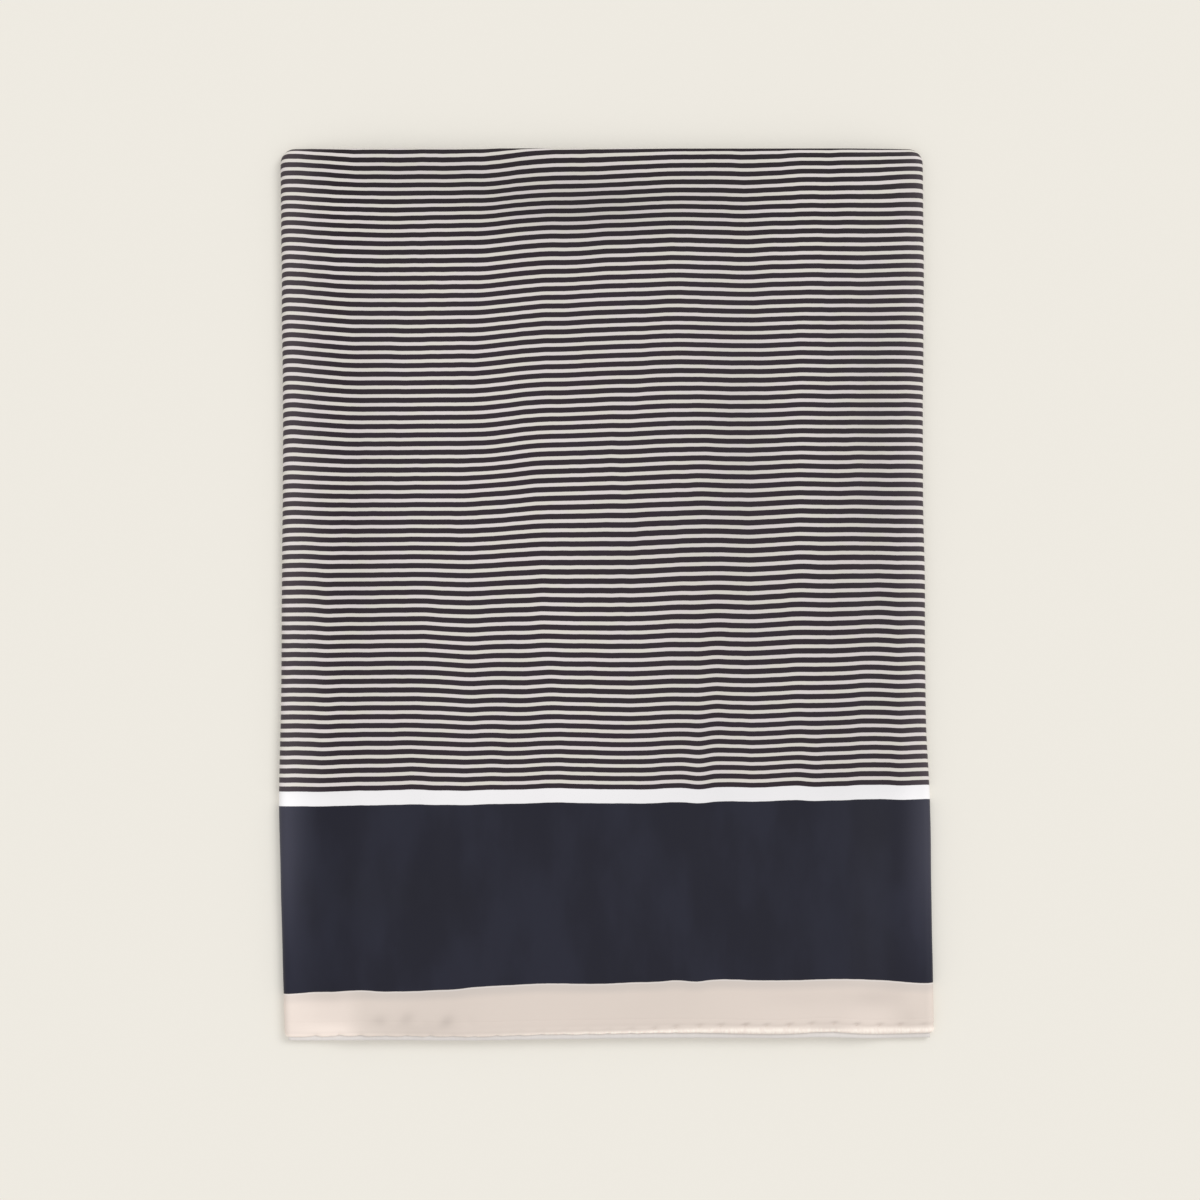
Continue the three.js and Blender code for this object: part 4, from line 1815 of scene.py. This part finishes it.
@dataclass
class Hems:
    """The rolled hems below the front's own, and the one on the underside."""

    pack: FoldedPack
    drift: PrintDrift
    printed: bpy.types.Material
    silk: bpy.types.Material
    wrong_side_in_shade: bpy.types.Material
    thread: bpy.types.Material
    path_steps: int = 120
    under_width: float = 4.4
    under_height: float = 2.6
    under_below: float = 3.45  # from the pack's top down to the roll's middle
    under_inset: float = 2.3
    under_sway: float = 0.1
    under_sway_run: float = 26.0
    under_pinch: float = 0.03
    under_stitch_turn: tuple[float, float] = (-60.0, 75.0)
    flap_setback: float = 3.4
    second_setback: float = 2.0
    flap_inset: float = 3.0
    nestle: float = 0.3  # how far a roll sinks into what lies beside it
    side_start: float = -219.0
    in_roll: float = 3.8  # a place in from the hem that is still on the roll
    past_roll: float = 20.0  # one past the roll, where the print shows

    @property
    def near_end(self) -> float:
        """Place of the hems' end, along the pack."""
        return -self.pack.first_fold

    def route(self, start: float, end: float, lay: Callable[[float], Vector]) -> list[Vector]:
        """Return the points that lay gives at even steps from start to end."""
        return [lay(mix(start, end, step / self.path_steps)) for step in range(self.path_steps + 1)]

    def under_path(self) -> list[Vector]:
        """Lay out the hem of the layer below the front.

        Returns:
            Its path, from the left.
        """
        pack = self.pack

        def lay(x: float) -> Vector:
            """Return the path's point at a place across the pack.

            Args:
                x: The place.

            Returns:
                The point.
            """
            y = pack.under_line.at(x) + self.under_width / 2
            sway = self.under_sway * smooth_noise(x / self.under_sway_run, 2.0, 0.0)
            return Vector((x, y, pack.top_height(x, y) - self.under_below + sway))

        start = self.under_inset - pack.left.at(self.near_end)
        return self.route(start, pack.right.at(self.near_end) - self.under_inset, lay)

    def flap_path(self, flap: Flap) -> list[Vector]:
        """Lay out a flap's hem.

        Args:
            flap: Which of the two thirds it is. The first lies over the second where they meet.

        Returns:
            Its path, from the left.
        """
        pack = self.pack
        first = flap is Flap.FIRST
        radius = pack.lower_hem / 2
        climb = pack.lower_hem - self.nestle if first else 0.0
        further = 0.0 if first else self.second_setback

        def lay(x: float) -> Vector:
            """Return the path's point at a place across the pack.

            Args:
                x: The place.

            Returns:
                The point.
            """
            y = pack.under_line.at(x) + self.flap_setback + further * pack.right_cover(x)
            return Vector((x, y, radius + climb * pack.left_cover(x)))

        inset = pack.fold_reach + self.flap_inset
        if first:
            return self.route(inset - pack.left.at(self.near_end), pack.flap_edge, lay)
        return self.route(-pack.flap_edge, pack.right.at(self.near_end) - inset, lay)

    def side_path(self) -> list[Vector]:
        """Lay out the hem down the second flap's free side.

        Returns:
            Its path, from the hems to the first fold.
        """
        radius = self.pack.lower_hem / 2
        x = -self.pack.flap_edge - self.nestle - radius
        return self.route(self.side_start, self.pack.flat_end, lambda y: Vector((x, y, radius)))

    def build(self) -> dict[str, list[bpy.types.Object]]:
        """Build every hem but the front's.

        Returns:
            Each hem's pieces, by its node.
        """
        thick = self.pack.lower_hem
        made = {}
        for flap in Flap:
            node = f"{flap.value}_flap_hem"
            path = self.flap_path(flap)
            hem = RolledHem(f"{node}_roll", node, thick, thick, path, self.silk, self.thread)
            made[node] = hem.build()
        under = RolledHem(
            "under_hem_roll",
            "under_hem",
            self.under_width,
            self.under_height,
            self.under_path(),
            self.wrong_side_in_shade,
            self.thread,
            from_hem=self.in_roll,
            pinch=self.under_pinch,
            stitch_turn=self.under_stitch_turn,
        )
        made["under_hem"] = under.build()
        side = RolledHem(
            "flap_side_hem_roll",
            "flap_side_hem",
            thick,
            thick,
            self.side_path(),
            self.printed,
            self.thread,
            slot=Slot.PRINTED,
            up_cloth=lambda point: self.drift.up_cloth(point.x, point.y),
            from_hem=self.past_roll,
        )
        made["flap_side_hem"] = side.build()
        return made


@dataclass(frozen=True)
class FlapWay:
    """A flap's way along the pack: out from its hem on the table, round its fold and back."""

    start: float
    centre: float
    reach: float
    height: float

    @property
    def turn(self) -> float:
        """Cloth that the fold takes."""
        return math.pi * (self.reach + self.height / 2) / 2

    def at(self, walked: float) -> tuple[float, float]:
        """Find a point on the way.

        Args:
            walked: The distance along the cloth from its hem.

        Returns:
            Its place along the pack, and its height over the flap's foot.
        """
        past = walked - (self.centre - self.start)
        if past <= 0.0:
            return self.start + walked, 0.0
        angle = min(past / self.turn, 1.0) * math.pi
        back = max(0.0, past - self.turn)
        y = self.centre + self.reach * math.sin(angle) - back
        return y, self.height / 2 * (1.0 - math.cos(angle))


@dataclass
class TurnedLayers:
    """The layers under the front: the one right below it and the two flaps."""

    pack: FoldedPack
    drift: PrintDrift
    silk: bpy.types.Material
    thickness: float = 0.6
    columns: int = 70
    rows: int = 110
    first_reach: float = 3.1
    second_reach: float = 2.8
    first_setback: float = 4.4
    second_setback: float = 6.4
    near_row: float = -216.0
    far_row: float = 221.0
    loop_inset: float = 15.0  # from a side fold to where a flap's far fold starts to stand out
    tuck_run: float = 9.0  # the width over which it grows to its full reach
    least_reach: float = 0.25  # share of the reach that the fold has at its ends
    draw_back: float = 1.2  # how far those ends stay back, in reaches
    return_run: float = 26.0  # cloth that comes back over the flap past its fold
    spacing: float = 0.15  # air between the two flaps
    hem_lift: float = 0.75  # how high a flap's cloth starts, inside its hem's roll
    hem_lift_run: float = 7.0
    puff: float = 0.1  # air under the cloth past the fold
    puff_clouds: Clouds = Clouds(width=14, length=40, strength=1.0, layer=6.0)
    rolled_silk: float = 3.0  # silk that a hem's roll takes
    back_below: float = 3.3  # from the pack's top down to the layer
    back_insets: tuple[float, float] = (7.0, 6.0)
    back_hem_share: float = 0.7
    flap_short: float = 8.0  # what a flap's hem and far fold take off the pack's length
    back_narrow: float = 14.0  # how much narrower the layer below is than the pack
    back_short: float = 5.0  # how much shorter it is

    def build_flap(self, flap: Flap) -> bpy.types.Object:
        """Build one flap's outer cloth, with its fold at the far end.

        Args:
            flap: Which of the two thirds it is.

        Returns:
            The cloth.
        """
        pack = self.pack
        first = flap is Flap.FIRST
        reach = self.first_reach if first else self.second_reach
        setback = self.first_setback if first else self.second_setback
        free_edge = pack.flap_edge if first else -pack.flap_edge
        loop_from, loop_to = free_edge, pack.right.at(pack.first_fold) - self.loop_inset
        if first:
            loop_from, loop_to = self.loop_inset - pack.left.at(pack.first_fold), free_edge

        def lay(across: float, along: float) -> tuple[Vector, Vector]:
            """Lay one corner of a cell.

            Args:
                across: Share of the columns, from the left.
                along: Share of the way, from the hem.

            Returns:
                The point, and its place on the printed silk.
            """
            level = mix(self.near_row, self.far_row, along)
            left = pack.fold_reach - pack.left.at(level) if first else free_edge
            right = free_edge if first else pack.right.at(level) - pack.fold_reach
            x = mix(left, right, across)
            tuck = ease(x, loop_from, loop_from + self.tuck_run)
            tuck *= 1.0 - ease(x, loop_to - self.tuck_run, loop_to)
            centre = pack.first_fold - pack.fold_reach - self.draw_back * reach + reach * tuck
            bulge = reach * mix(self.least_reach, 1.0, tuck)
            way = FlapWay(pack.under_line.at(x) + setback, centre, bulge, pack.flap_height)
            walked = along * (centre - way.start + way.turn + self.return_run)
            y, height = way.at(walked)
            z = height
            if height > 0.0:
                z += self.puff * (1.0 + self.puff_clouds.at(x, walked))
            if first:
                z += (pack.flap_height + self.spacing) * pack.left_cover(x)
            z += self.hem_lift * (1.0 - ease(walked, 0.0, self.hem_lift_run))
            up = self.drift.up_cloth(x, way.start + walked)
            return Vector((x, y, max(FLOOR, z))), Vector((x, up, walked + self.rolled_silk))

        return self.lay_sheet(f"{flap.value}_flap_cloth", lay)

    def build_back_half(self) -> bpy.types.Object:
        """Build the layer right below the front, which its hem peeks out from.

        Returns:
            The layer.
        """
        pack = self.pack
        left = self.back_insets[0] - pack.left.at(0)
        right = pack.right.at(0) - self.back_insets[1]

        def lay(across: float, along: float) -> tuple[Vector, Vector]:
            """Lay one corner of a cell.

            Args:
                across: Share of the columns, from the left.
                along: Share of the rows, from the hem.

            Returns:
                The point, and its place on the silk.
            """
            x = mix(left, right, across)
            start = pack.under_line.at(x) + pack.lower_hem * self.back_hem_share
            y = mix(start, pack.first_fold - pack.fold_reach, along)
            z = pack.top_height(x, y) - self.back_below
            return Vector((x, y, z)), Vector((x, y - start, y - start + self.rolled_silk))

        return self.lay_sheet("back_half_cloth", lay)

    def lay_sheet(
        self, name: str, lay: Callable[[float, float], tuple[Vector, Vector]]
    ) -> bpy.types.Object:
        """Args:
            name: The layer's name.
            lay: Lays each of its corners.

        Returns:
            The layer.
        """
        cloth = ThinSheet(
            name, self.columns, self.rows, lay, self.silk, self.thickness, face_down=True
        ).build()
        declare(cloth, Slot.PRINTED, "folded_layers")
        return cloth

    def flap_size(self) -> tuple[float, float]:
        """Work out a flap's cut.

        Returns:
            Its width and length, in metres.
        """
        width = self.pack.flap_edge + self.pack.width / 2 - self.pack.fold_reach
        length = self.pack.length - self.flap_short + self.return_run
        return width * MM, length * MM

    def back_size(self) -> tuple[float, float]:
        """Return the width and length of the layer below the front, in metres."""
        width = self.pack.width - self.back_narrow
        return width * MM, (self.pack.length - self.back_short) * MM


@dataclass
class Studio:
    """The pale table, the soft lights and the camera straight above. The table is in metres."""

    centre: tuple[float, float] = (-3.3, -2.8)
    view_width: float = 606.1
    distance: float = 2400.0
    sensor: float = 36.0
    far_clip: float = 20.0
    table_size: float = 8.0
    sky: float = 0.757
    sun_power: float = 1.1
    sun_spread: float = 32.0
    sun_from: tuple[float, float, float] = (1.0, 0.9, 1.35)

    def build(self) -> None:
        """Build the table, lights and camera."""
        scene = bpy.context.scene
        scene.view_settings.view_transform = "Standard"
        self.build_table()
        self.build_camera(scene)
        self.build_lights(scene)

    def build_table(self) -> None:
        """Lay the table just under the scarf."""
        bm = bmesh.new()
        bmesh.ops.create_grid(bm, x_segments=1, y_segments=1, size=self.table_size / 2)
        new_object("table_top", bm, TableTop().material())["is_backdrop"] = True

    def build_camera(self, scene: bpy.types.Scene) -> None:
        """Hang the camera straight above the scarf.

        Args:
            scene: Takes the camera.
        """
        data = bpy.data.cameras.new("camera")
        data.sensor_width = self.sensor
        data.lens = self.sensor * self.distance / self.view_width
        data.clip_end = self.far_clip
        camera = bpy.data.objects.new("camera", data)
        camera.location = (self.centre[0] * MM, self.centre[1] * MM, self.distance * MM)
        scene.collection.objects.link(camera)
        scene.camera = camera

    def build_lights(self, scene: bpy.types.Scene) -> None:
        """Light the table evenly, with a broad soft light from the upper right.

        Args:
            scene: Takes the lights.
        """
        world = bpy.data.worlds.new("studio")
        world.use_nodes = True
        sky = world.node_tree.nodes["Background"]
        sky.inputs["Color"].default_value = (1.0, 1.0, 1.0, 1.0)
        sky.inputs["Strength"].default_value = self.sky
        scene.world = world
        data = bpy.data.lights.new("sun", "SUN")
        data.energy = self.sun_power
        data.angle = math.radians(self.sun_spread)
        sun = bpy.data.objects.new("sun", data)
        sun.rotation_euler = (-Vector(self.sun_from)).to_track_quat("-Z", "Y").to_euler()
        scene.collection.objects.link(sun)


def main() -> None:
    """Build the scarf and its studio, and report each piece."""
    logging.basicConfig(level=logging.INFO, format="%(name)s: %(message)s")
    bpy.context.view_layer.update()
    pack = FoldedPack()
    drift = PrintDrift()
    hem = HemProfile(pack)
    printed = PrintedSilk().material(Slot.PRINTED.value)
    border = PrintedSilk().material(Slot.BORDER.value)
    wrong_side_in_shade = WRONG_SIDE_IN_SHADE.material("wrong_side_in_shade")
    thread = SewingThread().material()

    Studio().build()
    front = FrontCloth(pack, drift, printed, hem)
    front_cloth = front.build()
    hems = Hems(pack, drift, printed, border, wrong_side_in_shade, thread).build()
    hems["front_hem"] = FrontHem(pack, drift, border, thread, hem).build()
    layers = TurnedLayers(pack, drift, printed)
    back = layers.build_back_half()
    first = layers.build_flap(Flap.FIRST)
    second = layers.build_flap(Flap.SECOND)

    layers.flap_size()
    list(hems["second_flap_hem"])
    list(hems["flap_side_hem"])
    layers.flap_size()
    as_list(hems["first_flap_hem"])
    layers.back_size()
    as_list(hems["under_hem"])
    front.flat_size()
    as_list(hems["front_hem"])

    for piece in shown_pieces():
        log.info("%s: %d faces", piece.name, len(piece.data.polygons))


if __name__ == "__main__":
    main()
